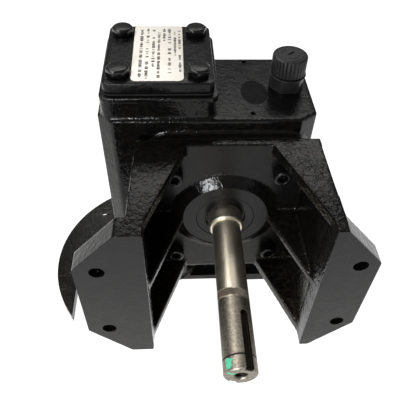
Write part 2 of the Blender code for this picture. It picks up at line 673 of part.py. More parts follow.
def breather():
    centre = (*BREATHER_XY, 0)
    low, collar, top = CASE_TOP + FIT, BREATHER_COLLAR_TOP, BREATHER_CAP_TOP
    rim, neck, stem = BREATHER_COLLAR_RADIUS, BREATHER_NECK_RADIUS, BREATHER_STEM_RADIUS
    stem_top = top - CAP_ROOF
    profile = [
        (0, stem_top), (stem, stem_top), (stem, collar + 1), (neck, collar + 1), (neck, collar),
        (rim, collar - 1), (rim, low + 1), (rim - 1, low), (BREATHER_THREAD_RADIUS, low),
        (BREATHER_THREAD_RADIUS, BREATHER_THREAD_BOTTOM), (0, BREATHER_THREAD_BOTTOM),
    ]
    turned("breather_body", profile, centre, UPRIGHT, PLASTIC, 18)
    ribbed = []
    for i in range(CAP_RIBS * 2):
        radius = BREATHER_CAP_RADIUS - (CAP_RIB_DEPTH if i % 2 else 0.0)
        angle = math.pi * i / CAP_RIBS
        ribbed.append((radius * math.cos(angle), radius * math.sin(angle)))
    cap = extruded("breather_cap", [ribbed], collar + 1 + FIT, top, centre, UPRIGHT, PLASTIC)
    socket_top = stem_top + FIT
    cut(cap, cylinder("cap_socket", stem + FIT, collar, socket_top, centre, UPRIGHT, segments=16))


def plugs():
    for name, z in (("level_plug", LEVEL_Z), ("drain_plug", DRAIN_Z)):
        seat = (CASE_RIGHT + FIT, PLUG_Y, z)
        head = cylinder(name, PLUG_CORNER, 0, PLUG_HEIGHT, seat, ALONG_X, SCREW, segments=6)
        washer, thread = PLUG_WASHER_RADIUS, PLUG_THREAD_RADIUS
        join(
            head,
            cylinder(name + "_washer", washer, 0, PLUG_WASHER_THICK, seat, ALONG_X, segments=20),
            cylinder(name + "_thread", thread, -WALL - 1, 1, seat, ALONG_X, segments=16),
        )


# ---------------------------------------------------------------- output flange


def wing(side):
    """The webs, side wall and pad of one wing: side is 0 for the left wing and 1 for the right."""
    sign, name = ((-1, "left"), (1, "right"))[side]
    wall, wall_end = WALL_AT_PLATE[side], WALL_AT_PAD[side]
    web_end = PAD_BACK - WEB_STEP
    web = [
        (wall, -FIT), (WEB_INNER_EDGE[0][0], -FIT), *WEB_INNER_EDGE, (PAD_INNER, web_end),
        (wall_end, web_end), (wall_end, PAD_BACK),
    ]
    upright = [
        (wall, -FIT), (wall - WING_WALL, -FIT), (wall_end - WING_WALL, PAD_BACK - PAST),
        (wall_end, PAD_BACK - PAST),
    ]
    half = PLATE_HALF[1]
    corner, outer = PAD_CHAMFER_X[side], PAD_OUTER[side]
    pad = [
        (PAD_INNER, half), (PAD_INNER, -half), (corner, -half), (outer, -PAD_CHAMFER_Z),
        (outer, PAD_CHAMFER_Z), (corner, half),
    ]
    pieces = [
        extruded(f"{name}_side_wall", [mirrored(upright, sign)], -half, half, ORIGIN, UPRIGHT),
        extruded(f"{name}_pad", [mirrored(pad, sign)], -PAD_BACK, -PAD_FRONT, ORIGIN, FACING),
    ]
    levels = (
        ("top", half - WEB_THICK, half),
        ("middle", -RIB_THICK / 2, RIB_THICK / 2),
        ("bottom", -half, WEB_THICK - half),
    )
    for level, low, high in levels:
        outline = [mirrored(web, sign)]
        pieces.append(extruded(f"{name}_{level}_web", outline, low, high, ORIGIN, UPRIGHT))
    return pieces


def output_flange():
    half_x, half_z = PLATE_HALF
    plate = rounded_rectangle((-half_x, -half_z), (half_x, half_z), PLATE_CORNER, 1)
    flange = extruded("output_flange", [plate], FIT, -PLATE_FRONT, ORIGIN, FACING, PAINT)
    boss = cylinder(
        "flange_boss", BOSS_BASE_RADIUS, FIT + 1, -BOSS_FACE, ORIGIN, FACING,
        segments=40, end_radius=BOSS_RADIUS,
    )
    join(flange, boss, *wing(0), *wing(1))
    seat_radius, seat_back, past_face = SEAL_RADIUS + FIT, SEAL_BACK - FIT, -BOSS_FACE + PAST
    cut(
        flange,
        cylinder("seal_seat", seat_radius, seat_back, past_face, ORIGIN, FACING, segments=32),
        cylinder("flange_bore", JOURNAL_RADIUS + 2, -PAST, seat_back + 1, ORIGIN, FACING),
    )
    hole_radius, hole_end = M12_CAP[0] / 2 + CLEARANCE, -PLATE_FRONT + PAST
    for i, (x, z) in enumerate(flange_screw_places()):
        spot, seat = (x, 0, z), (x, PLATE_FRONT - FIT, z)
        cut(flange, cylinder(f"flange_hole_{i}", hole_radius, -PAST, hole_end, spot, FACING, segments=12))
        cap_screw(f"flange_screw_{i + 1}", M12_CAP, M12_GRIP, seat, ALONG_Y)
    past_back, past_front = -PAD_BACK - PAST, -PAD_FRONT + PAST
    for side, sign in ((0, -1), (1, 1)):
        for level in (-1, 1):
            spot = (sign * PAD_HOLE_X[side], 0, level * PAD_HOLE_Z)
            name = f"pad_hole_{side}_{level}"
            tool = cylinder(
                name, PAD_HOLE_RADIUS, past_back, past_front, spot, FACING, segments=16
            )
            cut(flange, tool)


def output_seal():
    lip_back, lip_face = SEAL_LIP
    bore = JOURNAL_RADIUS + FIT
    profile = [
        (SEAL_RADIUS, SEAL_FACE), (SEAL_RADIUS, SEAL_BACK), (SEAL_POCKET_RADIUS, SEAL_BACK),
        (SEAL_POCKET_RADIUS, lip_back),
        (bore, lip_back), (bore, lip_face), (SEAL_LIP_RADIUS, lip_face),
        (SEAL_LIP_RADIUS, SEAL_FACE), (SEAL_RADIUS, SEAL_FACE),
    ]
    turned("output_seal", profile, ORIGIN, FACING, RUBBER, 24)


# ---------------------------------------------------------------- output shaft train


def output_shaft():
    groove_floor = SHAFT_RADIUS - GROOVE_DEPTH
    groove_end = GROOVE_Y + GROOVE_WIDTH
    profile = [
        (0, SHAFT_END), (SHAFT_RADIUS - END_CHAMFER, SHAFT_END),
        (SHAFT_RADIUS, SHAFT_END + END_CHAMFER), (SHAFT_RADIUS, GROOVE_Y), (groove_floor, GROOVE_Y),
        (groove_floor, groove_end), (SHAFT_RADIUS, groove_end), (SHAFT_RADIUS, SHOULDER),
        (JOURNAL_RADIUS - SHOULDER_CHAMFER, SHOULDER), (JOURNAL_RADIUS, SHOULDER + SHOULDER_CHAMFER),
        (JOURNAL_RADIUS, 0), (FRONT_SEAT_RADIUS, 0), (FRONT_SEAT_RADIUS, FRONT_SEAT_END),
        (COLLAR_RADIUS, FRONT_SEAT_END), (COLLAR_RADIUS, COLLAR_END), (WHEEL_SEAT_RADIUS, COLLAR_END),
        (WHEEL_SEAT_RADIUS, WHEEL_SEAT_END), (REAR_SEAT_RADIUS, WHEEL_SEAT_END),
        (REAR_SEAT_RADIUS, SHAFT_BACK), (0, SHAFT_BACK),
    ]
    shaft = turned("output_shaft", profile[::-1], ORIGIN, ALONG_Y, STEEL, 24)
    half_width = KEYWAY_WIDTH / 2
    inner_end, outer_end = KEYWAY_START - half_width, SHAFT_END - PAST
    reach = SHAFT_RADIUS - KEYWAY_DEPTH + PAST
    for i in range(2):
        turn = Matrix.Rotation(math.pi / 2 - math.radians(KEYWAY_ANGLE) + math.pi * i, 3, "Y")
        length = inner_end - outer_end
        slot = box(f"keyway_{i}", (-half_width, 0, 0), (half_width, length, 2 * PAST))
        round_end = cylinder(
            f"keyway_end_{i}", half_width, -PAST, PAST, ORIGIN, UPRIGHT, segments=12
        )
        place(slot, turn @ Vector((0, (outer_end + inner_end) / 2, reach)), turn)
        place(round_end, turn @ Vector((0, inner_end, reach)), turn)
        cut(shaft, slot, round_end)
    bottom, mouth = SHAFT_END + CENTRE_HOLE_DEPTH, CENTRE_HOLE_RADIUS + END_CHAMFER
    centre_hole = [
        (0, bottom), (CENTRE_HOLE_RADIUS, bottom), (CENTRE_HOLE_RADIUS, SHAFT_END + END_CHAMFER),
        (mouth, SHAFT_END), (mouth, SHAFT_END - PAST), (0, SHAFT_END - PAST),
    ]
    cut(
        shaft,
        turned("centre_hole", centre_hole, ORIGIN, ALONG_Y, steps=12),
        box_around_key("wheel_key_seat", ORIGIN, WHEEL_KEY, FIT),
    )


def output_train():
    output_shaft()
    box_around_key("wheel_key", ORIGIN, WHEEL_KEY, 0, STEEL)
    bore = circle(WHEEL_SEAT_RADIUS + FIT, 24)
    first_gap = math.pi + math.pi / WHEEL_TEETH
    outline = spur_outline(WHEEL_TEETH, SPUR_MODULE, first_gap)
    front, back = WHEEL_Y
    wheel = extruded("output_wheel", [outline, bore], -back, -front, ORIGIN, FACING, STEEL)
    half, _, _, _, key_top = WHEEL_KEY
    web_inner, web_outer = WHEEL_WEB_RADII
    web_end = front + WHEEL_WEB_DEPTH
    cut(
        wheel,
        box(
            "wheel_keyway", (-half - FIT, front - 2 * PAST, WHEEL_SEAT_RADIUS / 2),
            (half + FIT, back + 2 * PAST, key_top + FIT),
        ),
        ring("wheel_web_front", web_inner, web_outer, front - PAST, web_end, ORIGIN, ALONG_Y),
    )
    ring("spacer_sleeve", REAR_SEAT_RADIUS + FIT, SLEEVE_RADIUS, *SLEEVE_Y, ORIGIN, ALONG_Y, STEEL)
    bearing("output_front_bearing", OUTPUT_FRONT_BEARING, ORIGIN, ALONG_Y)
    bearing("output_rear_bearing", OUTPUT_REAR_BEARING, ORIGIN, ALONG_Y)
    cylinder("output_end_cap", OUTPUT_REAR_BEARING[1], *END_CAP_Y, ORIGIN, ALONG_Y, SCREW)


# ---------------------------------------------------------------- intermediate shaft train


def intermediate_train():
    centre = INTERMEDIATE_CENTRE
    profile = [(0, INTERMEDIATE_START)]
    start = INTERMEDIATE_START
    for radius, end in INTERMEDIATE_STEPS:
        profile += [(radius, start), (radius, end)]
        start = end
    profile.append((0, start))
    shaft = turned("intermediate_shaft", profile[::-1], centre, ALONG_Y, STEEL, 24)
    teeth = spur_outline(SPUR_PINION_TEETH, SPUR_MODULE, 0.0)
    front, back = SPUR_PINION_Y
    join(shaft, extruded("spur_pinion", [teeth], -back, -front, centre, FACING))
    cut(shaft, box_around_key("crown_key_seat", centre, CROWN_KEY, FIT))
    box_around_key("crown_key", centre, CROWN_KEY, 0, STEEL)
    flat_back = (CROWN_BACK_Y - INPUT_Y, CROWN_BACK_RADIUS)
    gap_down = math.pi / 2 + math.pi / CROWN_TEETH
    crown = bevel_gear(
        "crown_wheel", CROWN_TEETH, BEVEL_PINION_TEETH, gap_down, flat_back,
        INPUT_CENTRE, ALONG_Y, STEEL,
    )
    past_back = flat_back[0] + PAST
    half, key_start, key_end, _, key_top = CROWN_KEY
    low = (-half - FIT, key_start - 2 * PAST, CROWN_SEAT_RADIUS / 2)
    cut(
        crown,
        cylinder("crown_bore", CROWN_SEAT_RADIUS + FIT, -PAST, past_back, INPUT_CENTRE, ALONG_Y),
        box_at("crown_keyway", centre, low, (half + FIT, key_end + 2 * PAST, key_top + FIT)),
        cylinder("crown_dish", CROWN_DISH_RADIUS, 0, CROWN_DISH_DEPTH, INPUT_CENTRE, ALONG_Y),
    )
    bearing("intermediate_front_bearing", INTERMEDIATE_FRONT_BEARING, centre, ALONG_Y)
    bearing("intermediate_rear_bearing", INTERMEDIATE_REAR_BEARING, centre, ALONG_Y)
    cap_radius = INTERMEDIATE_REAR_BEARING[1]
    cylinder("intermediate_end_cap", cap_radius, *END_CAP_Y, centre, ALONG_Y, SCREW)


# ---------------------------------------------------------------- input shaft and motor adapter


def input_train():
    downward = Matrix.Rotation(math.pi, 3, "X")
    tooth_back = -math.pi / 2
    flat_back = (PINION_BACK, PINION_BACK_RADIUS)
    shaft = bevel_gear(
        "input_pinion_shaft", BEVEL_PINION_TEETH, CROWN_TEETH, tooth_back, flat_back,
        INPUT_CENTRE, downward, STEEL,
    )
    stem, sleeve, bottom = INPUT_STEM_RADIUS, INPUT_SLEEVE_RADIUS, INPUT_SHAFT_BOTTOM
    profile = [
        (0, INPUT_STEM_TOP), (stem, INPUT_STEM_TOP), (stem, INPUT_STEM_BOTTOM),
        (sleeve, INPUT_SLEEVE_TOP), (sleeve, bottom + 1), (sleeve - 1, bottom), (0, bottom),
    ]
    join(shaft, turned("input_stem", profile, INPUT_CENTRE, UPRIGHT, steps=24))
    below = bottom - 2 * PAST
    bore, half = MOTOR_BORE_RADIUS, MOTOR_KEY_HALF_WIDTH
    key_corner = (half, bore + MOTOR_KEY_DEPTH, MOTOR_BORE_TOP - 2)
    cut(
        shaft,
        cylinder("motor_bore", bore, below, MOTOR_BORE_TOP, INPUT_CENTRE, UPRIGHT, segments=20),
        box_at("motor_keyway", INPUT_CENTRE, (-half, 0, below), key_corner),
    )
    bearing("input_upper_bearing", INPUT_UPPER_BEARING, INPUT_CENTRE, UPRIGHT)
    bearing("input_lower_bearing", INPUT_LOWER_BEARING, INPUT_CENTRE, UPRIGHT)
    outer, (web_top, web_bottom) = INPUT_SEAL_OUTER, INPUT_SEAL_WEB
    (low, high), (lip_low, lip_high) = INPUT_SEAL_Z, INPUT_SEAL_LIP
    lip = sleeve + FIT
    seal = [
        (outer, high), (outer, low), (web_bottom, low), (web_bottom, lip_low), (lip, lip_low),
        (lip, lip_high), (web_top, lip_high), (web_top, high), (outer, high),
    ]
    turned("input_seal", seal, INPUT_CENTRE, UPRIGHT, RUBBER, 24)


def motor_adapter():
    bottom, top = MOTOR_FLANGE_Z
    x, y = INTERMEDIATE_X, INPUT_Y
    recess = bottom + SPIGOT_DEPTH
    low, high, beyond = bottom - PAST, top + PAST, MOTOR_FLANGE_RADIUS + PAST
    adapter = cylinder(
        "motor_adapter", MOTOR_FLANGE_RADIUS, bottom, top, INPUT_CENTRE, UPRIGHT, PAINT, segments=60
    )
    cut(
        adapter,
        box("flange_relief", (RELIEF_X, y - beyond, low), (x + beyond, RELIEF_Y, high)),
        cylinder("spigot", SPIGOT_RADIUS, low, recess, INPUT_CENTRE, UPRIGHT, segments=40),
    )
    head = CASE_BOTTOM - FIT
    half = ADAPTER_TOP_HALF
    corners = ((x - half, y - half), (x + half, y + half))
    top_plate = rounded_rectangle(*corners, ADAPTER_TOP_CORNER)
    plate_low = head - ADAPTER_TOP_THICK
    join(
        adapter,
        cylinder("neck", NECK_RADIUS, recess, head - 1, INPUT_CENTRE, UPRIGHT, segments=32),
        extruded("adapter_top_plate", [top_plate], plate_low, head, ORIGIN, UPRIGHT),
    )
    bore = INPUT_UPPER_BEARING[1] + FIT
    cut(adapter, cylinder("neck_bore", bore, low, head + PAST, INPUT_CENTRE, UPRIGHT, segments=32))
    for i, angle in enumerate(MOTOR_HOLE_ANGLES):
        turn = math.radians(angle)
        spot_x, spot_y = x + MOTOR_HOLE_CIRCLE * math.cos(turn), y + MOTOR_HOLE_CIRCLE * math.sin(turn)
        spot = (spot_x, spot_y, 0)
        cut(adapter, cylinder(f"motor_hole_{i}", MOTOR_HOLE_RADIUS, low, high, spot, UPRIGHT, segments=16))
    seat = plate_low - FIT
    hole_radius = M10_CAP[0] / 2 + CLEARANCE
    for i, (screw_x, screw_y) in enumerate(adapter_screw_places()):
        spot = (screw_x, screw_y, 0)
        name = f"adapter_hole_{i}"
        cut(adapter, cylinder(name, hole_radius, seat - PAST, head + PAST, spot, UPRIGHT, segments=12))
        cap_screw(f"adapter_screw_{i + 1}", M10_CAP, M10_GRIP, (screw_x, screw_y, seat), UPRIGHT)


gearcase()
cover()
breather()
plugs()
output_flange()
output_seal()
output_train()
intermediate_train()
input_train()
motor_adapter()
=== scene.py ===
"""Looks for the right-angle gearbox: cast, painted housings, a ground output shaft and small trim.

Sizes are in millimetres from the datum, where the output shaft's axis meets the joint face between
gearcase and output flange. The shaft points along -Y and +Z is up. solid() turns them into metres.
"""

import json
import math
import random

import bpy
from mathutils import Matrix, Vector


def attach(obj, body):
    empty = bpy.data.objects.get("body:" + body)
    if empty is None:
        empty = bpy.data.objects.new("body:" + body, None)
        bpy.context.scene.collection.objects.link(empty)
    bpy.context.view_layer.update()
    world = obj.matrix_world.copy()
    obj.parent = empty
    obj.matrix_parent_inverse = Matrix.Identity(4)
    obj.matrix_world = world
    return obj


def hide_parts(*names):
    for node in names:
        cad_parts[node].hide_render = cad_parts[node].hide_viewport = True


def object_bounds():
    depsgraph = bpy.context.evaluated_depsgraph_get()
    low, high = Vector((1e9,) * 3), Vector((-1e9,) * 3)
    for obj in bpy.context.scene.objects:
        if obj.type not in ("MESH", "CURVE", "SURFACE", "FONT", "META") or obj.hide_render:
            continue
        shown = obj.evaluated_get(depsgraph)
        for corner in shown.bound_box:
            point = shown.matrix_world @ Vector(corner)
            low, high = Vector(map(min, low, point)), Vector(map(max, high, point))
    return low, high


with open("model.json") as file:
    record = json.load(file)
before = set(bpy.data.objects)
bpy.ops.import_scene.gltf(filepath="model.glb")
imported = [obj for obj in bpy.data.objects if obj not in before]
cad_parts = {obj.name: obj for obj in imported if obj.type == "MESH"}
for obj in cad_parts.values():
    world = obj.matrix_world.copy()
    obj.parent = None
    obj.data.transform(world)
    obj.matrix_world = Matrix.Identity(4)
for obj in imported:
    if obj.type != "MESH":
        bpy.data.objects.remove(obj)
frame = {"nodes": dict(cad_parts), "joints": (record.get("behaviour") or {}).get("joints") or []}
CAD_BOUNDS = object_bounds()

JOINTS = {joint["name"]: joint for joint in frame["joints"]}
DATUM = Vector(JOINTS["output_spin"]["pos_m"])
MM = 0.001
TO_ROW = Matrix.Translation(DATUM) @ Matrix.Scale(MM, 4)

# Turns local +Z into the named direction.
UPRIGHT = Matrix.Identity(3)
ALONG_Y = Matrix.Rotation(-math.pi / 2, 3, "X")
FACING = Matrix.Rotation(math.pi / 2, 3, "X")
ALONG_X = Matrix.Rotation(math.pi / 2, 3, "Y")

# The input shaft stands on this spot. Pieces that touch keep the gap between them.
INPUT_X, INPUT_Y = -74.0, 66.0
JOINT_GAP = 0.3


# ---------------------------------------------------------------- shapes as (points, faces)


def block(low, high):
    """A box between two opposite corners."""
    (a, b, c), (d, e, f) = low, high
    points = [(x, y, z) for z in (c, f) for y in (b, e) for x in (a, d)]
    faces = [(0, 2, 3, 1), (4, 5, 7, 6), (0, 1, 5, 4), (2, 6, 7, 3), (0, 4, 6, 2), (1, 3, 7, 5)]
    return points, faces


def prism(outline, start, end):
    """An anticlockwise outline in XY drawn along Z."""
    count = len(outline)
    area = sum(
        x0 * y1 - x1 * y0 for (x0, y0), (x1, y1) in zip(outline, outline[1:] + outline[:1])
    )
    if area < 0:
        outline = outline[::-1]
    points = [(x, y, z) for z in (start, end) for x, y in outline]
    faces = [tuple(range(count))[::-1], tuple(range(count, 2 * count))]
    for i in range(count):
        j = (i + 1) % count
        faces.append((i, j, count + j, count + i))
    return points, faces


def lathe(profile, steps=64):
    """A profile of (radius, height) spun about Z. It starts and ends on the axis, or ends where it began."""
    closed = profile[0] == profile[-1]
    if closed:
        profile = profile[:-1]
    points, rings = [], []
    for radius, height in profile:
        if radius == 0:
            rings.append([len(points)] * steps)
            points.append((0, 0, height))
        else:
            rings.append(list(range(len(points), len(points) + steps)))
            for i in range(steps):
                angle = 2 * math.pi * i / steps
                points.append((radius * math.cos(angle), radius * math.sin(angle), height))
    faces = []
    pairs = list(zip(rings, rings[1:])) + ([(rings[-1], rings[0])] if closed else [])
    for near, far in pairs:
        for i in range(steps):
            j = (i + 1) % steps
            corners = dict.fromkeys((near[i], near[j], far[j], far[i]))
            if len(corners) > 2:
                faces.append(tuple(corners))
    return points, faces


def placed(shape, centre=(0, 0, 0), turn=UPRIGHT):
    """A shape turned about the datum and then moved to its centre."""
    points, faces = shape
    return [tuple(turn @ Vector(p) + Vector(centre)) for p in points], faces


def merged(*shapes):
    """Several shapes as one, still separate inside it."""
    points, faces = [], []
    for more_points, more_faces in shapes:
        base = len(points)
        points += more_points
        faces += [tuple(base + i for i in face) for face in more_faces]
    return points, faces


def rounded_rectangle(low, high, radius, steps=6):
    """An anticlockwise outline with a quarter circle at each corner."""
    corners = (
        (high[0] - radius, high[1] - radius, 0.0),
        (low[0] + radius, high[1] - radius, 90.0),
        (low[0] + radius, low[1] + radius, 180.0),
        (high[0] - radius, low[1] + radius, 270.0),
    )
    outline = []
    for x, y, first in corners:
        for step in range(steps + 1):
            angle = math.radians(first + 90.0 * step / steps)
            outline.append((x + radius * math.cos(angle), y + radius * math.sin(angle)))
    return outline


def disc(radius, start, end, steps=48):
    return lathe([(0, start), (radius, start), (radius, end), (0, end)], steps)


def polygon(radius, count, first=0.0):
    return [
        (
            radius * math.cos(first + 2 * math.pi * i / count),
            radius * math.sin(first + 2 * math.pi * i / count),
        )
        for i in range(count)
    ]


def softened(outline, radius, steps=4):
    """Rounds every corner of an outline with a quadratic curve that starts that far from the corner."""
    result = []
    count = len(outline)
    for i in range(count):
        corner = Vector(outline[i])
        before = Vector(outline[i - 1]) - corner
        after = Vector(outline[(i + 1) % count]) - corner
        reach = min(radius, before.length / 2, after.length / 2)
        start, end = corner + before.normalized() * reach, corner + after.normalized() * reach
        for step in range(steps + 1):
            t = step / steps
            result.append(tuple((1 - t) ** 2 * start + 2 * t * (1 - t) * corner + t * t * end))
    return result


# ---------------------------------------------------------------- shapes to objects


def solid(name, shape):
    """A new object made from a shape in millimetres."""
    points, faces = shape
    mesh = bpy.data.meshes.new(name)
    mesh.from_pydata(points, [], faces)
    mesh.transform(TO_ROW)
    thing = bpy.data.objects.new(name, mesh)
    bpy.context.scene.collection.objects.link(thing)
    return thing


def apply(thing):
    """Puts the result of the modifiers into the mesh and removes them."""
    graph = bpy.context.evaluated_depsgraph_get()
    mesh = bpy.data.meshes.new_from_object(thing.evaluated_get(graph))
    thing.modifiers.clear()
    old = thing.data
    thing.data = mesh
    bpy.data.meshes.remove(old)
    return thing


def combine(thing, tools, operation):
    """Cuts, joins or intersects a solid with others, one after another, and removes the others."""
    for tool in tools:
        change = thing.modifiers.new(tool.name, "BOOLEAN")
        change.operation = operation
        change.solver = "MANIFOLD"
        change.object = tool
    apply(thing)
    for tool in tools:
        bpy.data.objects.remove(tool, do_unlink=True)
    return thing


def boolean(thing, shapes, operation="DIFFERENCE"):
    """The same with closed shapes, which become solids first."""
    return combine(thing, [solid(f"tool_{i}", shape) for i, shape in enumerate(shapes)], operation)


def cast(name, shapes, voxel=1.5, rounds=6, keep=0.5):
    """Overlapping shapes made one skin, with its corners and inner angles rounded as in a casting."""
    thing = solid(name, merged(*shapes))
    skin = thing.modifiers.new("Skin", "REMESH")
    skin.mode = "VOXEL"
    skin.voxel_size = voxel * MM
    soft = thing.modifiers.new("Soft", "SMOOTH")
    soft.factor = 0.5
    soft.iterations = rounds
    thin = thing.modifiers.new("Thin", "DECIMATE")
    thin.ratio = keep
    return apply(thing)


def bevelled(thing, width, segments=2, angle=30.0):
    """Rounds every edge sharper than the angle, to a width in millimetres."""
    edge = thing.modifiers.new("Edge", "BEVEL")
    edge.width = width * MM
    edge.segments = segments
    edge.limit_method = "ANGLE"
    edge.angle_limit = math.radians(angle)
    return apply(thing)


def shaded(thing, angle=32.0):
    """Smooth shading, apart from edges sharper than the angle."""
    thing.data.shade_smooth()
    thing.data.set_sharp_from_angle(angle=math.radians(angle))
    return thing


def dressed(thing, body, slot, *materials, nodes=()):
    """Gives a piece its materials and body, and hides the CAD nodes it stands for. The slot is not used."""
    thing.data.materials.clear()
    for material in materials:
        thing.data.materials.append(material)
    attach(thing, body)
    if nodes:
        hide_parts(*nodes)
    return thing


def second_finish(thing, planes, index=1):
    """Gives the second material to faces that lie in the named planes: (axis, millimetres)."""
    square_on, close_by = 0.999, 0.12
    for face in thing.data.polygons:
        centre = (face.center - DATUM) / MM
        for axis, value in planes:
            if abs(face.normal[axis]) > square_on and abs(centre[axis] - value) < close_by:
                face.material_index = index


# ---------------------------------------------------------------- materials

# The second colour is brown dust; lower down it also paints a reflection of the floor.
ENAMEL, DUST_AND_REFLECTION = (0.0022, 0.0022, 0.0024), (0.034, 0.027, 0.016)
# The last colour is painted shade that darkens the shaft's keyways and circlip groove.
SEALANT, MARK_GREEN, RECESS_SHADE = (0.035, 0.023, 0.012), (0.075, 0.46, 0.28), (0.02, 0.017, 0.013)
RIPPLE_DEPTH = 0.0012

# Marks on the output shaft: a place along its axis, in metres from the datum, and an angle in radians.
STAIN_CENTRE = -0.1188
PATCH_BEARING = 2.36


def nodes_of(name):
    material = bpy.data.materials.new(name)
    material.use_nodes = True
    tree = material.node_tree
    shader = tree.nodes["Principled BSDF"]
    return material, tree, shader


def node(tree, kind, settings=None, **inputs):
    """A new node with its settings and inputs. An input named with spaces is given with underscores."""
    made = tree.nodes.new(kind)
    for key, value in (settings or {}).items():
        setattr(made, key, value)
    for key, value in inputs.items():
        socket = made.inputs[key.replace("_", " ")]
        if isinstance(value, bpy.types.NodeSocket):
            tree.links.new(value, socket)
        else:
            socket.default_value = value
    return made


def place_of(tree):
    return tree.nodes.new("ShaderNodeTexCoord").outputs["Object"]


def noise(tree, where, scale, detail=3.0, roughness=0.55, distortion=0.0):
    made = node(
        tree, "ShaderNodeTexNoise", Vector=where, Scale=scale, Detail=detail,
        Roughness=roughness, Distortion=distortion,
    )
    return made.outputs["Fac"]


def ramp(tree, value, low, high, to_low=0.0, to_high=1.0):
    """Maps the range low to high onto to_low to to_high, and holds it beyond."""
    made = node(tree, "ShaderNodeMapRange", Value=value)
    made.inputs["From Min"].default_value = low
    made.inputs["From Max"].default_value = high
    made.inputs["To Min"].default_value = to_low
    made.inputs["To Max"].default_value = to_high
    return made.outputs["Result"]


def calc(tree, operation, first, *others, clamp=False):
    """A Math node on one value, or a row of Math nodes that takes in the other values one by one."""
    result = first
    for other in others or (None,):
        made = tree.nodes.new("ShaderNodeMath")
        made.operation = operation
        made.use_clamp = clamp
        for socket, value in zip(made.inputs, (result, other)):
            if isinstance(value, bpy.types.NodeSocket):
                tree.links.new(value, socket)
            elif value is not None:
                socket.default_value = value
        result = made.outputs[0]
    return result


def split_place(tree, where):
    """The X, Y and Z of a place, each as a socket."""
    split = tree.nodes.new("ShaderNodeSeparateXYZ")
    tree.links.new(where, split.inputs[0])
    return split.outputs


def lines_along(tree, place, scale, detail):
    """Noise that changes along one axis only, as turning marks do."""
    made = node(tree, "ShaderNodeTexNoise", {"noise_dimensions": "1D"}, Scale=scale, Detail=detail)
    tree.links.new(place, made.inputs["W"])
    return made.outputs["Fac"]


def blend(tree, factor, first, second):
    """Mixes two colours, each a socket or three numbers."""
    made = tree.nodes.new("ShaderNodeMix")
    made.data_type = "RGBA"
    colours = [socket for socket in made.inputs if socket.type == "RGBA"]
    for socket, value in ((made.inputs[0], factor), (colours[0], first), (colours[1], second)):
        if isinstance(value, bpy.types.NodeSocket):
            tree.links.new(value, socket)
        else:
            socket.default_value = (*value, 1.0) if hasattr(value, "__len__") else value
    return next(socket for socket in made.outputs if socket.type == "RGBA")


def relief(tree, shader, height, strength, distance, edge=0.0):
    """Feeds a height field to the shader's normal, over edges rounded by that radius in metres."""
    bump = node(tree, "ShaderNodeBump", Height=height, Strength=strength, Distance=distance)
    if edge:
        rounded = node(tree, "ShaderNodeBevel", {"samples": 6}, Radius=edge)
        tree.links.new(rounded.outputs[0], bump.inputs["Normal"])
    tree.links.new(bump.outputs[0], shader.inputs["Normal"])


def paint(name, grain, roughness, gloss, dust_and_reflection=0.25, edge=0.0006):
    """Black enamel over a casting: soft ripples, finer sand grain, dull patches, a little brown dust, and
    more brown lower down as a painted reflection of the floor.
    """
    material, tree, shader = nodes_of(name)
    where = place_of(tree)
    ripple = noise(tree, where, 235.0, 2.0, 0.5, 0.6)
    sand = noise(tree, where, 700.0, 2.0, 0.5)
    calm = ramp(tree, noise(tree, where, 34.0, 4.0, 0.6), 0.38, 0.62, 0.45, 1.0)
    height = calc(tree, "ADD", calc(tree, "MULTIPLY", ripple, 1.3), calc(tree, "MULTIPLY", sand, 0.2))
    relief(tree, shader, calc(tree, "MULTIPLY", height, calm), grain, RIPPLE_DEPTH, edge)
    smears = noise(tree, where, 90.0, 4.0, 0.65)
    dull = ramp(tree, smears, 0.3, 0.7, roughness - 0.06, roughness + 0.08)
    tree.links.new(dull, shader.inputs["Roughness"])
    # Brown dust in patches, with more brown lower down as a painted reflection of the floor.
    dust_and_reflection_full, dust_and_reflection_thin = DATUM.z - 0.09, DATUM.z + 0.03
    low_down = ramp(tree, split_place(tree, where)[2], dust_and_reflection_full, dust_and_reflection_thin, 2.2, 0.5)
    dust_and_reflection_patches = ramp(tree, noise(tree, where, 160.0, 5.0, 0.75), 0.42, 0.75, 0.0, dust_and_reflection)
    dust_and_reflection_mix = calc(tree, "MULTIPLY", dust_and_reflection_patches, low_down, clamp=True)
    # Mixes in the brown dust and, lower down, the painted reflection of the floor.
    tree.links.new(blend(tree, dust_and_reflection_mix, ENAMEL, DUST_AND_REFLECTION), shader.inputs["Base Color"])
    shader.inputs["Specular IOR Level"].default_value = gloss
    return material


def steel(name, colour, roughness, lines=0.0, axis=1, metallic=1.0):
    """Bare steel with fine turning lines square to the named axis, and faint smears."""
    material, tree, shader = nodes_of(name)
    where = place_of(tree)
    smear = noise(tree, where, 70.0, 4.0, 0.6)
    rough = ramp(tree, smear, 0.3, 0.7, roughness - 0.07, roughness + 0.09)
    tree.links.new(rough, shader.inputs["Roughness"])
    darker = tuple(0.78 * c for c in colour)
    tree.links.new(blend(tree, ramp(tree, smear, 0.35, 0.75), colour, darker), shader.inputs["Base Color"])
    shader.inputs["Metallic"].default_value = metallic
    fine = lines_along(tree, split_place(tree, where)[axis], 2600.0, 2.0)
    relief(tree, shader, fine, lines, 0.00004, 0.0003)
    return material


def stain_mask(tree, across, along, up, ragged):
    """Old sealant: a brown band beside the ground seat, strongest on the upper left."""
    lean = calc(tree, "ADD", calc(tree, "MULTIPLY", across, 0.12), calc(tree, "MULTIPLY", ragged, 0.4))
    from_centre = calc(tree, "ABSOLUTE", calc(tree, "ADD", along, -STAIN_CENTRE, lean))
    near_band = ramp(tree, from_centre, 0.0034, 0.005, 1.0, 0.0)
    upper_left = ramp(tree, calc(tree, "SUBTRACT", up, across), 0.006, 0.017, 0.8, 1.0)
    return calc(tree, "MULTIPLY", near_band, upper_left, clamp=True)


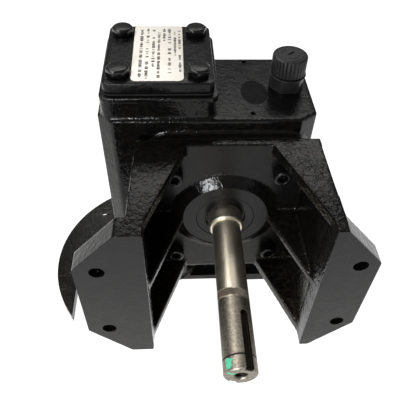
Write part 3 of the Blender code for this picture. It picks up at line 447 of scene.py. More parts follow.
def green_mask(tree, across, along, up, ragged):
    """Paint marks: a patch on the left of the shaft's last ring, and a stripe on its end face."""
    torn = calc(tree, "ADD", along, ragged)
    ring_low = ramp(tree, torn, -0.1912, -0.1904)
    ring_high = ramp(tree, torn, -0.1822, -0.1830)
    bearing = calc(tree, "ARCTAN2", up, across)
    off_bearing = calc(tree, "ABSOLUTE", calc(tree, "SUBTRACT", bearing, PATCH_BEARING))
    frayed_bearing = calc(tree, "ADD", off_bearing, calc(tree, "MULTIPLY", ragged, 70.0))
    sector = ramp(tree, frayed_bearing, 0.17, 0.2, 1.0, 0.0)
    on_ring = calc(tree, "MULTIPLY", ring_low, ring_high, sector)

    sloping = calc(tree, "MULTIPLY", calc(tree, "ADD", across, 0.008), 0.45)
    stripe_line = calc(tree, "ABSOLUTE", calc(tree, "ADD", calc(tree, "SUBTRACT", up, 0.0052), sloping))
    frayed = calc(tree, "ADD", stripe_line, calc(tree, "MULTIPLY", ragged, 0.3))
    stripe = ramp(tree, frayed, 0.0012, 0.0017, 1.0, 0.0)
    at_end = ramp(tree, along, -0.1925, -0.1929)
    left_half = ramp(tree, across, -0.0035, -0.0045)
    on_end = calc(tree, "MULTIPLY", at_end, stripe, left_half)
    return calc(tree, "ADD", on_ring, on_end, clamp=True)


def recess_shade_mask(tree, across, along, up):
    """Painted shade in the keyways and the circlip groove: below the shaft's skin, and short of its end
    face.
    """
    squares = calc(tree, "ADD", calc(tree, "MULTIPLY", across, across), calc(tree, "MULTIPLY", up, up))
    sunk = ramp(tree, calc(tree, "SQRT", squares), 0.0143, 0.0147, 1.0, 0.0)
    before_end = ramp(tree, along, -0.1921, -0.1917)
    past_journal = ramp(tree, along, -0.135, -0.13, 1.0, 0.0)
    return calc(tree, "MULTIPLY", sunk, before_end, past_journal)


def shaft_steel():
    """The output shaft: polished journal, matte ground seat, a brown stain, painted shade in the keyways and
    groove, and green marks.
    """
    material, tree, shader = nodes_of("output_shaft_steel")
    where = place_of(tree)
    axes = split_place(tree, where)
    across, along, up = (calc(tree, "SUBTRACT", axes[i], DATUM[i]) for i in range(3))
    wander = noise(tree, where, 260.0, 3.0)
    ragged = calc(tree, "MULTIPLY", calc(tree, "SUBTRACT", wander, 0.5), 0.012)
    mottled = noise(tree, where, 420.0, 4.0, 0.7)
    smear = noise(tree, where, 60.0, 4.0, 0.6)

    seat_edge = calc(tree, "ADD", along, calc(tree, "MULTIPLY", ragged, 0.08))
    seat = ramp(tree, seat_edge, -0.1222, -0.1236)
    polished = blend(tree, ramp(tree, smear, 0.35, 0.7), (0.86, 0.79, 0.65), (0.66, 0.6, 0.49))
    ground = blend(tree, ramp(tree, mottled, 0.4, 0.65), (0.31, 0.283, 0.238), (0.16, 0.145, 0.12))
    stain = stain_mask(tree, across, along, up, ragged)
    green = green_mask(tree, across, along, up, ragged)
    recess_shade = recess_shade_mask(tree, across, along, up)
    colour = blend(tree, seat, polished, ground)
    colour = blend(tree, calc(tree, "MULTIPLY", stain, 0.95), colour, SEALANT)
    colour = blend(tree, green, colour, MARK_GREEN)
    # Painted shade darkens the keyways and the circlip groove.
    colour = blend(tree, calc(tree, "MULTIPLY", recess_shade, 0.9), colour, RECESS_SHADE)
    tree.links.new(colour, shader.inputs["Base Color"])

    stained = calc(tree, "MULTIPLY", stain, 0.9)
    metal = calc(tree, "SUBTRACT", 1.0, green, stained, clamp=True)
    tree.links.new(metal, shader.inputs["Metallic"])
    base_rough = ramp(tree, seat, 0.0, 1.0, 0.36, 0.46)
    rough = calc(tree, "ADD", base_rough, ramp(tree, smear, 0.3, 0.7, -0.04, 0.08))
    rough = calc(tree, "ADD", rough, calc(tree, "MULTIPLY", stain, 0.3), clamp=True)
    tree.links.new(rough, shader.inputs["Roughness"])

    lines = lines_along(tree, axes[1], 2300.0, 3.0)
    broad = lines_along(tree, axes[1], 160.0, 3.0)
    rugged = calc(tree, "MULTIPLY", mottled, seat, 1.2)
    height = calc(tree, "ADD", lines, calc(tree, "MULTIPLY", broad, 0.8), rugged)
    relief(tree, shader, height, 0.35, 0.00006, 0.0003)
    return material


def plastic(name, colour, roughness, scale=900.0):
    """Moulded plastic, rubber or fibre: a fine speckled skin with cloudy lighter patches."""
    material, tree, shader = nodes_of(name)
    where = place_of(tree)
    speck = noise(tree, where, scale, 3.0, 0.6)
    cloud = noise(tree, where, 80.0, 3.0)
    lighter = tuple(1.7 * c for c in colour)
    tree.links.new(blend(tree, ramp(tree, cloud, 0.35, 0.7), colour, lighter), shader.inputs["Base Color"])
    rough = ramp(tree, cloud, 0.3, 0.7, roughness - 0.05, roughness + 0.07)
    tree.links.new(rough, shader.inputs["Roughness"])
    shader.inputs["Specular IOR Level"].default_value = 0.3
    relief(tree, shader, speck, 0.25, 0.00012, 0.0004)
    return material


def label_film():
    """A warm white printed film with faint yellowing and handling marks."""
    material, tree, shader = nodes_of("label_film")
    where = place_of(tree)
    age = noise(tree, where, 28.0, 4.0, 0.6)
    tone = blend(tree, ramp(tree, age, 0.4, 0.7), (0.84, 0.81, 0.76), (0.78, 0.74, 0.67))
    tree.links.new(tone, shader.inputs["Base Color"])
    tree.links.new(ramp(tree, age, 0.3, 0.7, 0.32, 0.45), shader.inputs["Roughness"])
    relief(tree, shader, noise(tree, where, 300.0, 2.0), 0.08, 0.0002)
    return material


CAST_PAINT = paint("cast_black_paint", 0.42, 0.12, 0.2, 0.32)
SMOOTH_PAINT = paint("machined_black_paint", 0.12, 0.32, 0.23, 0.2)
RIM_PAINT = paint("plate_black_paint", 0.24, 0.22, 0.19, 0.06)
BOLT_PAINT = paint("bolt_black_paint", 0.24, 0.2, 0.28, 0.1, 0.0004)
OVAL_PAINT = paint("blank_oval_paint", 0.3, 0.3, 0.05, 0.1)
SHAFT = shaft_steel()
GEAR_STEEL = steel("gear_steel", (0.42, 0.41, 0.39), 0.28, 0.25)
RACE_STEEL = steel("bearing_steel", (0.6, 0.6, 0.59), 0.17, 0.15)
INPUT_STEEL = steel("input_steel", (0.42, 0.41, 0.39), 0.3, 0.25, axis=2)
BLACK_STEEL = steel("blackened_steel", (0.035, 0.035, 0.037), 0.36, 0.2, axis=2, metallic=0.8)
RUBBER = plastic("nitrile_rubber", (0.014, 0.014, 0.014), 0.55, 700.0)
PLASTIC = plastic("breather_plastic", (0.008, 0.008, 0.0085), 0.4)
GASKET = plastic("gasket_fibre", (0.012, 0.011, 0.010), 0.7, 1200.0)
LABEL = label_film()
INK = plastic("label_ink", (0.05, 0.05, 0.052), 0.6)


# ---------------------------------------------------------------- gearcase

CASE_LEFT, CASE_RIGHT = -126.0, 87.5
CASE_FRONT, CASE_BACK = 10.0, 122.0
CASE_BOTTOM, CASE_TOP = -110.0, 110.0
RIM_TOP = 136.0
FLANGE_SCREWS = [(x, z) for z in (61.0, -61.0) for x in (-54.0, 54.0)]
COVER_BOLTS = [(x, y) for y in (30.5, 104.5) for x in (-103.0, -29.0)]
ADAPTER_SCREWS = [(INPUT_X + i * 41.0, INPUT_Y + j * 41.0) for i in (-1, 1) for j in (-1, 1)]
PLUG_HEIGHTS = (("level_plug", 20.0), ("drain_plug", -78.0))
BREATHER_AT = (63.5, 69.5, 0)
OVAL_FLOOR = CASE_TOP - 0.45
FRONT_BEARING_BORE, REAR_BEARING_BORE, SMALL_BEARING_BORE = 40.3, 31.3, 23.8


def case_casting():
    """The case, the tower, the front joint pad and the rear boss as one skin, still solid inside."""
    plan = [
        (CASE_LEFT + 14, CASE_FRONT), (CASE_RIGHT - 17, CASE_FRONT), (CASE_RIGHT, CASE_FRONT + 12),
        (CASE_RIGHT, CASE_BACK - 12), (CASE_RIGHT - 12, CASE_BACK), (CASE_LEFT + 12, CASE_BACK),
        (CASE_LEFT, CASE_BACK - 12), (CASE_LEFT, CASE_FRONT + 12),
    ]
    tower = rounded_rectangle((-122, 13), (-14, 121), 10)
    pad = rounded_rectangle((-82, -96), (82, 96), 24)
    shapes = [
        prism(plan, CASE_BOTTOM, CASE_TOP),
        prism(tower, 0, 131.5),
        placed(prism(pad, -0.8, 40), turn=ALONG_Y),
        placed(disc(40, 60, CASE_BACK + 0.01), turn=ALONG_Y),
    ]
    return cast("gearcase_casting", shapes)


def case_cavity():
    """The room inside the case and its tower, less the bearing bosses that stand in it."""
    wall, front, back = 9, 20.0, 112.0
    room = block((CASE_LEFT + wall, front, -96), (CASE_RIGHT - wall, back, 101))
    in_tower = block((-113, front, 90), (-23, back, 120))
    bosses = [
        placed(disc(38, 97, 130), turn=ALONG_Y),
        placed(disc(30, 97, 130), (INPUT_X, 0, 0), ALONG_Y),
        placed(disc(30, 10, 27), (INPUT_X, 0, 0), ALONG_Y),
    ]
    cavity = boolean(solid("case_cavity", room), [in_tower], "UNION")
    return boolean(cavity, bosses)


def case_cuts():
    """The faced joint, the openings, the bearing bores, the threaded holes and the blank oval."""
    screw_holes = [placed(disc(6.3, -5, 17, 24), (x, 0, z), ALONG_Y) for x, z in FLANGE_SCREWS]
    bolt_holes = [placed(disc(6.3, 122, 140, 24), (x, y, 0)) for x, y in COVER_BOLTS]
    adapter_holes = [placed(disc(5.3, -115, -99, 24), (x, y, 0)) for x, y in ADAPTER_SCREWS]
    plug_holes = [placed(disc(8.3, 70, 95), (0, INPUT_Y, z), ALONG_X) for _, z in PLUG_HEIGHTS]
    small_holes = [placed(disc(2.6, 100, 115, 24), place) for place in ((24.0, 21.5, 0), (24.5, 114.5, 0))]
    oval = [(x, y * 1.55) for x, y in polygon(13.5, 48)]
    return [
        block((-200, -20, -200), (200, 0, 200)),
        placed(disc(42, 100, 141, 64), (-66, 67.5, 0)),
        placed(disc(FRONT_BEARING_BORE, -5, 25, 64), turn=ALONG_Y),
        placed(disc(REAR_BEARING_BORE, 90, 127, 64), turn=ALONG_Y),
        placed(disc(SMALL_BEARING_BORE, 90, 127, 64), (INPUT_X, 0, 0), ALONG_Y),
        placed(disc(SMALL_BEARING_BORE, 12.5, 32, 64), (INPUT_X, 0, 0), ALONG_Y),
        placed(disc(FRONT_BEARING_BORE, CASE_BOTTOM - 5, -90, 64), (INPUT_X, INPUT_Y, 0)),
        placed(disc(9.3, 95, 115), BREATHER_AT),
        *plug_holes,
        *small_holes,
        placed(prism(softened(oval, 2), OVAL_FLOOR, CASE_TOP + 2), (29, 57, 0)),
        *screw_holes, *bolt_holes, *adapter_holes,
    ]


def gearcase():
    case = case_casting()
    combine(case, [case_cavity()], "DIFFERENCE")
    rim = solid("case_rim", prism(rounded_rectangle((-121, 9.5), (-11, 124), 8), 130.5, RIM_TOP))
    combine(case, [bevelled(rim, 1.0, 3)], "UNION")
    shaded(boolean(case, case_cuts()))
    paints = (CAST_PAINT, RIM_PAINT, SMOOTH_PAINT, OVAL_PAINT)
    dressed(case, "housing", "black_paint", *paints, nodes=["gearcase"])
    second_finish(case, [(2, RIM_TOP), (2, CASE_TOP), (2, CASE_BOTTOM)])
    second_finish(case, [(1, 0.0)], 2)
    second_finish(case, [(2, OVAL_FLOOR)], 3)


# ---------------------------------------------------------------- output flange

PLATE_FRONT, SPOT_FACE, BOSS_FACE = -9.0, -8.9, -16.0
PAD_FRONT, PAD_BACK = -118.0, -97.0
PAD_HOLES = [(x, z) for x in (-121.0, 110.0) for z in (-48.0, 48.0)]
PAD_INNER = 79.0
PAD_CORNER_X = (102.0, 88.4)
PAD_OUTER = (142.0, 128.0)
PAD_CORNER_Z = 51.5
WALL_AT_PLATE, WALL_AT_PAD = (90.0, 88.0), (94.0, 89.5)
HALF_HEIGHT = 96.0


def wing(side):
    """One side of the output flange: a side wall, a pad in front of it, and three webs."""
    sign = (-1, 1)[side]
    wall, wall_end = WALL_AT_PLATE[side], WALL_AT_PAD[side]
    web = [
        (wall, 0), (42, 0), (42, PLATE_FRONT - 0.5), (PAD_INNER - 0.6, PAD_BACK - 5),
        (PAD_INNER, PAD_BACK - 12), (wall_end, PAD_BACK - 12), (wall_end, PAD_BACK),
    ]
    upright = [(wall, 0), (wall - 10, 0), (wall_end - 10, PAD_BACK - 5), (wall_end, PAD_BACK - 5)]
    pad = [
        (PAD_INNER, HALF_HEIGHT), (PAD_INNER, -HALF_HEIGHT), (PAD_CORNER_X[side], -HALF_HEIGHT),
        (PAD_OUTER[side], -PAD_CORNER_Z), (PAD_OUTER[side], PAD_CORNER_Z),
        (PAD_CORNER_X[side], HALF_HEIGHT),
    ]

    def flipped(outline):
        return [(sign * x, y) for x, y in outline]

    pieces = [prism(flipped(upright), -HALF_HEIGHT, HALF_HEIGHT)]
    pieces.append(placed(prism(flipped(pad), -PAD_BACK, -PAD_FRONT + 1.0), turn=FACING))
    for low, high in ((HALF_HEIGHT - 12, HALF_HEIGHT), (-4, 4), (-HALF_HEIGHT, 12 - HALF_HEIGHT)):
        pieces.append(prism(flipped(web), low, high))
    return pieces


def output_flange():
    plate = rounded_rectangle((-90, -HALF_HEIGHT), (90, HALF_HEIGHT), 4)
    boss = lathe([(0, 0.3), (57.5, 0.3), (57.5, 9), (45, 17.2), (0, 17.2)])
    flange = cast(
        "output_flange_casting",
        [placed(prism(plate, -0.8, 9), turn=FACING), placed(boss, turn=FACING), *wing(0), *wing(1)],
        voxel=1.4, rounds=3, keep=0.55,
    )
    spot_faces = [placed(disc(10.5, -SPOT_FACE, 20, 40), (x, 0, z), FACING) for x, z in FLANGE_SCREWS]
    holes = [placed(disc(6.8, -5, 12, 32), (x, 0, z), FACING) for x, z in FLANGE_SCREWS]
    pad_holes = [placed(disc(7.0, 90, 125, 40), (x, 0, z), FACING) for x, z in PAD_HOLES]
    boolean(
        flange,
        [
            block((-200, PAD_FRONT - 20, -200), (200, PAD_FRONT, 200)),
            block((-200, -JOINT_GAP, -200), (200, 20, 200)),
            placed(disc(45.4, -BOSS_FACE, 60, 96), turn=FACING),
            placed(disc(31.2, 8, 21, 72), turn=FACING),
            placed(disc(20, -5, 10, 64), turn=FACING),
            *spot_faces, *holes, *pad_holes,
        ],
    )
    shaded(flange)
    dressed(
        flange, "housing", "black_paint", CAST_PAINT, SMOOTH_PAINT, nodes=["output_flange"],
    )
    second_finish(flange, [(1, PAD_FRONT), (1, BOSS_FACE), (1, SPOT_FACE)])


def output_seal():
    """The seal's case, lip and dust lip. It is painted over with the housings."""
    profile = [
        (31.0, 8.3), (31.0, 15.3), (30.6, 15.7), (22.8, 15.7), (21.8, 15.2), (21.5, 14.0), (21.2, 12.4),
        (19.5, 11.8), (18.4, 12.9), (18.15, 12.6), (18.15, 11.6), (19.2, 10.6), (23.5, 10.2), (24.2, 9.2),
        (24.2, 8.3), (31.0, 8.3),
    ]
    seal = shaded(solid("output_shaft_seal", placed(lathe(profile[::-1], 96), turn=FACING)))
    dressed(seal, "housing", "nitrile_rubber", SMOOTH_PAINT, nodes=["output_seal"])


# ---------------------------------------------------------------- output shaft

SHAFT_RADIUS = 15.0
SHAFT_END, SHOULDER = -193.0, -31.0
KEYWAY_ANGLE, KEYWAY_FLOOR, KEYWAY_END = 62.0, 11, -141


def tapped_hole(depth=25.0, pitch=1.5, entry=1.2):
    """The profile of a tapped hole with a countersunk entry: 11.5 mm at the roots, 10 mm at the crests."""
    root, crest = 5.75, 5.0
    profile = [(0, -6), (6.9, -6), (6.9, 0.0), (root, entry)]
    for i in range(int(depth / pitch)):
        height = entry + pitch * i
        profile += [(root, height + 0.15), (crest, height + 0.7), (crest, height + 0.95)]
    return profile + [(crest, depth), (0, depth + 2.5)]


def output_shaft():
    """The stepped shaft, with two keyways at its free end and a seat for the wheel's key."""
    r = SHAFT_RADIUS
    profile = [
        (0, SHAFT_END), (r - 1.6, SHAFT_END), (r - 0.4, SHAFT_END + 1.0), (r, SHAFT_END + 1.8),
        (r, -180.5), (r - 0.9, -180.45), (r - 0.9, -178.95), (r, -178.9), (r, SHOULDER),
        (r + 0.4, SHOULDER + 0.02), (16.6, SHOULDER + 0.1), (18.0, SHOULDER + 1.5), (18.0, 0), (20.0, 0.01),
        (20.0, 20), (26.0, 20.01), (26.0, 29), (21.0, 29.01), (21.0, 51), (15.0, 51.01), (15.0, 114),
        (14, 115), (0, 115),
    ]
    shaft = solid("output_shaft_ground", placed(lathe(profile[::-1], 120), turn=ALONG_Y))
    key_cuts = []
    for half_turn in (0.0, math.pi):
        turn = Matrix.Rotation(math.pi / 2 - math.radians(KEYWAY_ANGLE) + half_turn, 3, "Y")
        key_cuts.append(placed(block((-4, -200, KEYWAY_FLOOR), (4, KEYWAY_END, 20)), turn=turn))
        key_cuts.append(placed(disc(4, KEYWAY_FLOOR, 20, 48), turn @ Vector((0, KEYWAY_END, 0)), turn))
    centre_hole = placed(lathe(tapped_hole(), 48), (0, SHAFT_END, 0), ALONG_Y)
    wheel_key_seat = block((-6.3, 30.7, 16.2), (6.3, 48.3, 30))
    boolean(shaft, [*key_cuts, centre_hole, wheel_key_seat])
    shaded(shaft, 28)
    dressed(shaft, "output_rotor", "ground_steel", SHAFT, nodes=["output_shaft"])


# ---------------------------------------------------------------- cover, bolts, nameplate

COVER_BOTTOM, COVER_TOP = 137.4, 148.4
BOLT_TURNS = (6.0, 22.0, 2.0, 12.0)
# Rows of plain dashes stand in for print, each row running from back to front:
# X, width, where it starts and ends along Y, and the share of it that is inked.
DASH_ROWS = (
    (-83.4, 3.2, 24, 112, 0.85), (-77.4, 3.0, 22, 112, 0.65), (-71.6, 3.0, 40, 110, 0.75),
    (-66.4, 2.8, 24, 104, 0.85), (-61.2, 3.0, 88, 112, 0.85), (-56.0, 3.4, 30, 112, 0.5),
    (-50.6, 2.4, 60, 106, 0.85), (-46.2, 2.8, 30, 108, 0.8),
)
DASH_LENGTHS = (1.1, 1.5, 1.5, 2.0, 2.6)
DASH_WIDTHS = (0.6, 0.85, 1.0)
LETTER_GAP, WORD_GAP = 0.55, 2.6


def hex_head(flats, height, chamfer=2.4):
    """A hexagon head with its underside at zero and its corners turned off at the top."""
    corner = flats / math.sqrt(3)
    head = solid("head", prism(polygon(corner, 6), 0.6, height))
    cone = lathe(
        [
            (0, -1), (corner + 3, -1), (corner + 3, height - chamfer - 1), (flats / 2 - 0.9, height - 0.15),
            (flats / 2 - 1.6, height), (0, height),
        ],
        48,
    )
    boolean(head, [cone], "INTERSECT")
    return bevelled(head, 0.3, 2, 25.0)


def moved_copy(thing, name, extra, centre, turn):
    """A copy of a piece made at the datum, with more closed shapes of its own added, put in its place."""
    points = [tuple((v.co - DATUM) / MM) for v in thing.data.vertices]
    faces = [tuple(face.vertices) for face in thing.data.polygons]
    return solid(name, placed(merged((points, faces), *extra), centre, turn))


def cover():
    """The inspection cover and its four hexagon bolts, each turned as it was left."""
    low, high = COVER_BOTTOM, COVER_TOP
    outline = rounded_rectangle((-117, 14), (-15, 120), 6)
    plate = solid("inspection_cover_plate", prism(outline, low, high))
    bevelled(plate, 1.1, 3)
    boolean(plate, [placed(disc(6.8, low - 5, high + 5, 32), (x, y, 0)) for x, y in COVER_BOLTS])
    shaded(plate)
    dressed(plate, "housing", "black_paint", RIM_PAINT, nodes=["inspection_cover"])

    head = hex_head(19.0, 7.5)
    for i, (x, y) in enumerate(COVER_BOLTS):
        washer = lathe([(0, 0), (9.2, 0), (9.2, 0.7), (0, 0.7)], 48)
        shank = disc(5.9, -25, 0.1, 24)
        turn = Matrix.Rotation(math.radians(BOLT_TURNS[i]), 3, "Z")
        place = (x, y, high + JOINT_GAP)
        bolt = moved_copy(head, f"cover_hex_bolt_{i + 1}", [washer, shank], place, turn)
        shaded(bolt, 26)
        dressed(bolt, "housing", "blackened_steel", BOLT_PAINT, nodes=[f"cover_bolt_{i + 1}"])
    bpy.data.objects.remove(head, do_unlink=True)


def nameplate():
    """A white film with rows of dashes on it."""
    low, high = COVER_TOP + JOINT_GAP, COVER_TOP + 1.1
    plate = solid("nameplate_film", prism(rounded_rectangle((-91, 18), (-43, 118), 4.5, 8), low, high))
    bevelled(plate, 0.15, 2)
    shaded(plate)
    dressed(plate, "housing", "label_white", LABEL, nodes=["nameplate"])
    rng = random.Random(7)
    dashes = []
    for x, width, start, end, ink in DASH_ROWS:
        y = float(end)
        while y > start:
            length = rng.choice(DASH_LENGTHS)
            if rng.random() < ink:
                half = width * rng.choice(DASH_WIDTHS) / 2
                middle = x + rng.uniform(-0.12, 0.12)
                left, right = middle - half, middle + half
                dashes.append(block((left, y - length, high - 0.1), (right, y, high + 0.04)))
            y -= length + (LETTER_GAP if rng.random() < 0.8 else WORD_GAP)
    marks = solid("nameplate_dashes", merged(*dashes))
    dressed(marks, "housing", "label_white", INK)


# ---------------------------------------------------------------- breather


def breather_body():
    """A hexagon collar with rounded corners, a turned neck above it and a plain thread below."""
    hexagon = softened(polygon(18.8, 6, math.radians(4.0)), 2.5)
    collar = solid("breather_hex_collar", prism(hexagon, 110.3, 125.0))
    dome = [
        (0, 110.0), (18.2, 110.0), (18.2, 110.9), (19.2, 111.6), (19.2, 123.6), (17.9, 124.9), (0, 124.9),
    ]
    boolean(collar, [lathe(dome, 64)], "INTERSECT")
    bevelled(collar, 0.35, 2)
    neck = [
        (0, 124.6), (18.3, 124.6), (18.6, 124.9), (18.6, 125.3), (18.3, 125.5), (13, 125.5), (13, 126.4),
        (5.9, 126.4), (5.9, 137.9), (0, 137.9),
    ]
    thread = disc(8.9, 99, 111, 48)
    boolean(collar, [lathe(neck, 64), thread], "UNION")
    shape = moved_copy(collar, "breather_lower_body", [], BREATHER_AT, UPRIGHT)
    bpy.data.objects.remove(collar, do_unlink=True)
    shaded(shape, 30)
    dressed(shape, "housing", "black_plastic", PLASTIC, nodes=["breather_body"])


def cap_marks(top):
    """Short bars and dots sunk in a ring on the cap's top, which say nothing."""
    marks = []
    for k, bearing in enumerate((118, 140, 162, 262, 284, 306, 330)):
        angle = math.radians(bearing)
        half_x, half_y = (1.5, 0.45) if k % 2 else (1.0, 0.8)
        bar = block((-half_x, -half_y, top - 0.5), (half_x, half_y, top + 1))
        spot = (8.8 * math.cos(angle), 8.8 * math.sin(angle), 0)
        marks.append(placed(bar, spot, Matrix.Rotation(angle + math.pi / 2, 3, "Z")))
    return marks


def breather_cap():
    """A ribbed cap with a slot, a sunk ring and marks on its top, hollow below for the neck."""
    ribs, steps, low, top = 28, 8, 126.8, 146.0
    outline = []
    for i in range(ribs * steps):
        angle = 2 * math.pi * i / (ribs * steps)
        reach = 16.45 + 1.15 * abs(math.cos(ribs * angle / 2)) ** 0.7
        outline.append((reach * math.cos(angle), reach * math.sin(angle)))
    cap = solid("cap_blank", prism(outline, low, top))
    envelope = [
        (0, low - 1), (17.3, low - 1), (17.7, low + 0.8), (17.7, top - 2.2), (16.9, top - 0.9),
        (15.6, top - 0.05), (0, top - 0.05),
    ]
    boolean(cap, [lathe(envelope, 96)], "INTERSECT")
    bar = block((-4.6, -0.9, top - 1.6), (4.6, 0.9, top + 1))
    slot = placed(bar, (1.0, 1.5, 0), Matrix.Rotation(math.radians(38), 3, "Z"))
    sunk_ring = [
        (14.2, top - 0.45), (15.0, top + 1), (12.4, top + 1), (12.9, top - 0.45), (14.2, top - 0.45),
    ]
    socket = disc(6.3, low - 1, top - 7.7, 48)
    boolean(cap, [slot, lathe(sunk_ring, 96), socket, *cap_marks(top)])
    shape = moved_copy(cap, "breather_ribbed_cap", [], BREATHER_AT, UPRIGHT)
    bpy.data.objects.remove(cap, do_unlink=True)
    shaded(shape, 34)
    dressed(shape, "housing", "black_plastic", PLASTIC, nodes=["breather_cap"])


# ---------------------------------------------------------------- socket screws, plugs and caps

ADAPTER_SCREW_SEAT = -123.6


def socket_head(radius, height, grip, thread, teeth=44):
    """A knurled socket head and shank pointing along +Z, with the underside of the head at zero."""
    outline = []
    for i in range(teeth * 2):
        reach = radius - (0.22 if i % 2 else 0.0)
        outline.append((reach * math.cos(math.pi * i / teeth), reach * math.sin(math.pi * i / teeth)))
    head = solid("socket_head", prism(outline, -height, 0))
    envelope = [
        (0, -height), (radius - 1.5, -height), (radius - 0.5, -height + 0.5), (radius + 0.2, -height + 1.5),
        (radius + 0.2, -0.7), (radius - 0.5, 0), (0, 0),
    ]
    boolean(head, [lathe(envelope, 64)], "INTERSECT")
    mouth = [
        (0, -height - 1), (thread * 0.56, -height - 1), (thread * 0.5, -height + 0.7), (0, -height + 0.7),
    ]
    socket = prism(polygon(thread * 0.48, 6), -height - 1, -height * 0.45)
    boolean(head, [socket, lathe(mouth, 32)])
    half = thread / 2
    shank = [(0, -0.2), (half, -0.2), (half, grip - 1), (half - 1, grip), (0, grip)]
    return boolean(head, [lathe(shank, 32)], "UNION")


def socket_screws():
    head = socket_head(9.0, 12.0, 25.0, 12.0)
    for i, (x, z) in enumerate(FLANGE_SCREWS):
        turn = ALONG_Y @ Matrix.Rotation(math.radians(17.0 * i), 3, "Z")
        name = f"flange_socket_screw_{i + 1}"
        screw = shaded(moved_copy(head, name, [], (x, PLATE_FRONT - JOINT_GAP, z), turn), 30)
        dressed(screw, "housing", "blackened_steel", BOLT_PAINT, nodes=[f"flange_screw_{i + 1}"])
    bpy.data.objects.remove(head, do_unlink=True)
    head = socket_head(8.0, 10.0, 22.0, 10.0)
    for i, (x, y) in enumerate(ADAPTER_SCREWS):
        turn = Matrix.Rotation(math.radians(23.0 * i), 3, "Z")
        name = f"adapter_socket_screw_{i + 1}"
        screw = shaded(moved_copy(head, name, [], (x, y, ADAPTER_SCREW_SEAT), turn), 30)
        dressed(screw, "housing", "blackened_steel", BOLT_PAINT, nodes=[f"adapter_screw_{i + 1}"])
    bpy.data.objects.remove(head, do_unlink=True)


def plugs():
    """The oil level plug and the drain plug, each a hexagon head over a sealing washer."""
    head = hex_head(21.6, 8.0, 2.0)
    for name, z in PLUG_HEIGHTS:
        washer = lathe([(0, 0), (13.7, 0), (14.0, 0.3), (14.0, 1.7), (13.7, 2.0), (0, 2.0)], 48)
        thread = disc(7.9, -10, 0.2, 32)
        place = (CASE_RIGHT + JOINT_GAP, INPUT_Y, z)
        plug = shaded(moved_copy(head, name + "_hex", [washer, thread], place, ALONG_X), 26)
        dressed(plug, "housing", "blackened_steel", BOLT_PAINT, nodes=[name])
    bpy.data.objects.remove(head, do_unlink=True)


def end_caps():
    """Pressed steel caps over the two rear bearing bores."""
    for name, radius, x in (("output_end_cap", 31.0, 0.0), ("intermediate_end_cap", 23.5, INPUT_X)):
        profile = [
            (0, 115.8), (radius, 115.8), (radius, 120.9), (radius - 0.8, 121.5), (radius - 3.4, 121.5),
            (radius - 4.6, 120.1), (radius - 7.0, 119.7), (4, 119.5), (3.2, 120.0), (0, 120.1),
        ]
        cap = shaded(solid(name + "_pressed", placed(lathe(profile, 80), (x, 0, 0), ALONG_Y)), 30)
        dressed(cap, "housing", "blackened_steel", BOLT_PAINT, nodes=[name])


# ---------------------------------------------------------------- motor adapter

MOTOR_FLANGE_RADIUS, MOTOR_BOLTS = 150.0, 132.5


def motor_adapter():
    """A square top plate, a round neck, and a motor flange that is cut off straight in front."""
    bottom, top = -194.0, -180.0
    head = CASE_BOTTOM - JOINT_GAP
    half, spigot_floor = 52.0, bottom + 5
    below, above = bottom - 5, top + 5
    centre = (INPUT_X, INPUT_Y, 0)
    plate = rounded_rectangle((INPUT_X - half, INPUT_Y - half), (INPUT_X + half, INPUT_Y + half), 12)
    neck = [(0, spigot_floor), (50, spigot_floor), (50, top + 3), (46, top + 9), (46, head), (0, head)]
    adapter = cast(
        "motor_adapter_casting",
        [placed(lathe(neck, 72), centre), prism(plate, head - 13, head)],
        voxel=1.4, rounds=3, keep=0.5,
    )
    rib = block((-226, 37.4, top - 2), (INPUT_X - 44, 44.2, top + 1.5))
    boolean(adapter, [placed(disc(MOTOR_FLANGE_RADIUS, bottom, top, 180), centre), rib], "UNION")
    holes = []
    for angle in (45.0, 135.0):
        turn = math.radians(angle)
        spot = (INPUT_X + MOTOR_BOLTS * math.cos(turn), INPUT_Y + MOTOR_BOLTS * math.sin(turn), 0)
        holes.append(placed(disc(7, below, above, 40), spot))
        holes.append(placed(disc(13.5, top - 0.8, above, 48), spot))
    for x, y in ADAPTER_SCREWS:
        holes.append(placed(disc(5.8, head - 20, head + 5, 32), (x, y, 0)))
    r = MOTOR_FLANGE_RADIUS
    outside = [(r, below), (r + 10, below), (r + 10, top + 6), (r, top + 6), (r, below)]
    chamfer = [(r - 1.2, top + 0.02), (r + 1, top - 1.6), (r + 1, top + 4), (r - 1.2, top + 4)]
    cut_off = softened([(-193, -200), (200, -200), (200, 34), (-193, 34)], 3)
    boolean(
        adapter,
        [
            placed(disc(115, below, spigot_floor, 120), centre),
            placed(disc(FRONT_BEARING_BORE, below, head + 5, 72), centre),
            prism(cut_off, below, above),
            placed(lathe(outside, 180), centre),
            placed(lathe(chamfer + chamfer[:1], 180), centre),
            *holes,
        ],
    )
    shaded(adapter)
    dressed(adapter, "housing", "black_paint", CAST_PAINT, RIM_PAINT, nodes=["motor_adapter"])
    second_finish(adapter, [(2, bottom), (2, spigot_floor), (2, top), (2, head)])


# ---------------------------------------------------------------- CAD nodes that stay


def finish_cad_nodes():
    """A material for each CAD node that still shows. The first rule whose word is in its name holds."""
    rules = (
        ("input_seal", RUBBER), ("cover_gasket", GASKET), ("bearing", RACE_STEEL),
        ("input_pinion", INPUT_STEEL), ("", GEAR_STEEL),
    )
    for name, thing in frame["nodes"].items():
        if thing.hide_render:
            continue
        material = next(material for word, material in rules if word in name)
        thing.data.materials.clear()
        thing.data.materials.append(material)


# ---------------------------------------------------------------- stage, light and camera


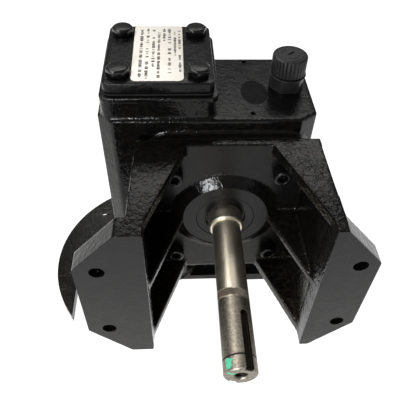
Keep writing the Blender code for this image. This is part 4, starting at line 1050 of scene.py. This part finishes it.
def stage():
    """A pale floor just under the gearbox, bright enough of its own to show as white."""
    material, tree, shader = nodes_of("pale_floor")
    shader.inputs["Base Color"].default_value = (0.25, 0.25, 0.25, 1.0)
    shader.inputs["Roughness"].default_value = 0.9
    shader.inputs["Emission Color"].default_value = (1.0, 1.0, 1.0, 1.0)
    shader.inputs["Emission Strength"].default_value = 0.97
    mesh = bpy.data.meshes.new("floor")
    reach = 6.0
    corners = [(x * reach, y * reach, 0) for x, y in ((-1, -1), (1, -1), (1, 1), (-1, 1))]
    mesh.from_pydata(corners, [], [(0, 1, 2, 3)])
    floor = bpy.data.objects.new("floor", mesh)
    floor.location.z = CAD_BOUNDS[0].z - 0.0005
    mesh.materials.append(material)
    bpy.context.scene.collection.objects.link(floor)


def soft_light(name, place, target, size, power, colour=(1.0, 1.0, 1.0)):
    lamp = bpy.data.lights.new(name, "AREA")
    lamp.shape = "RECTANGLE"
    lamp.size, lamp.size_y = size
    lamp.energy = power
    lamp.color = colour
    thing = bpy.data.objects.new(name, lamp)
    thing.location = place
    thing.rotation_euler = (Vector(target) - Vector(place)).to_track_quat("-Z", "Y").to_euler()
    bpy.context.scene.collection.objects.link(thing)


def lights():
    """A pale world, a soft light overhead, one behind, and a low one in front that picks out the paint."""
    world = bpy.data.worlds.new("studio")
    world.use_nodes = True
    background = world.node_tree.nodes["Background"]
    background.inputs["Color"].default_value = (1.0, 1.0, 1.0, 1.0)
    background.inputs["Strength"].default_value = 0.24
    bpy.context.scene.world = world
    middle = (0.0, 0.0, 0.15)
    soft_light("overhead", (-0.8, 0.1, 1.7), middle, (1.3, 0.6), 23, (1.0, 0.97, 0.92))
    soft_light("back", (0.15, 1.7, 1.9), middle, (1.6, 0.6), 8, (1.0, 0.98, 0.96))
    soft_light("spark", (-0.42, -1.3, 0.6), (0.05, 0.0, 0.22), (0.4, 0.3), 15, (0.97, 0.98, 1.0))


def camera():
    """A camera in front of the gearbox and above it, close enough for strong perspective."""
    pitch, yaw, roll = math.radians(-47.5), math.radians(4.97), math.radians(2.64)
    flat_ahead = Vector((math.sin(yaw), math.cos(yaw), 0.0))
    forward = flat_ahead * math.cos(pitch) + Vector((0.0, 0.0, math.sin(pitch)))
    level = Vector((math.cos(yaw), -math.sin(yaw), 0.0))
    upward = level.cross(forward)
    right = math.cos(roll) * level + math.sin(roll) * upward
    upper = -math.sin(roll) * level + math.cos(roll) * upward
    lens = bpy.data.cameras.new("camera")
    lens.sensor_width = 36.0
    lens.lens = 42.24
    lens.clip_start = 0.01
    thing = bpy.data.objects.new("camera", lens)
    axes = Matrix((right, upper, -forward)).transposed()
    eye = DATUM + Vector((-0.04919, -0.36302, 0.39615))
    thing.matrix_world = Matrix.Translation(eye) @ axes.to_4x4()
    bpy.context.scene.collection.objects.link(thing)
    bpy.context.scene.camera = thing


camera()
gearcase()
output_flange()
output_seal()
output_shaft()
cover()
nameplate()
breather_body()
breather_cap()
socket_screws()
plugs()
end_caps()
motor_adapter()
finish_cad_nodes()
stage()
lights()
bpy.context.scene.view_settings.view_transform = "Standard"
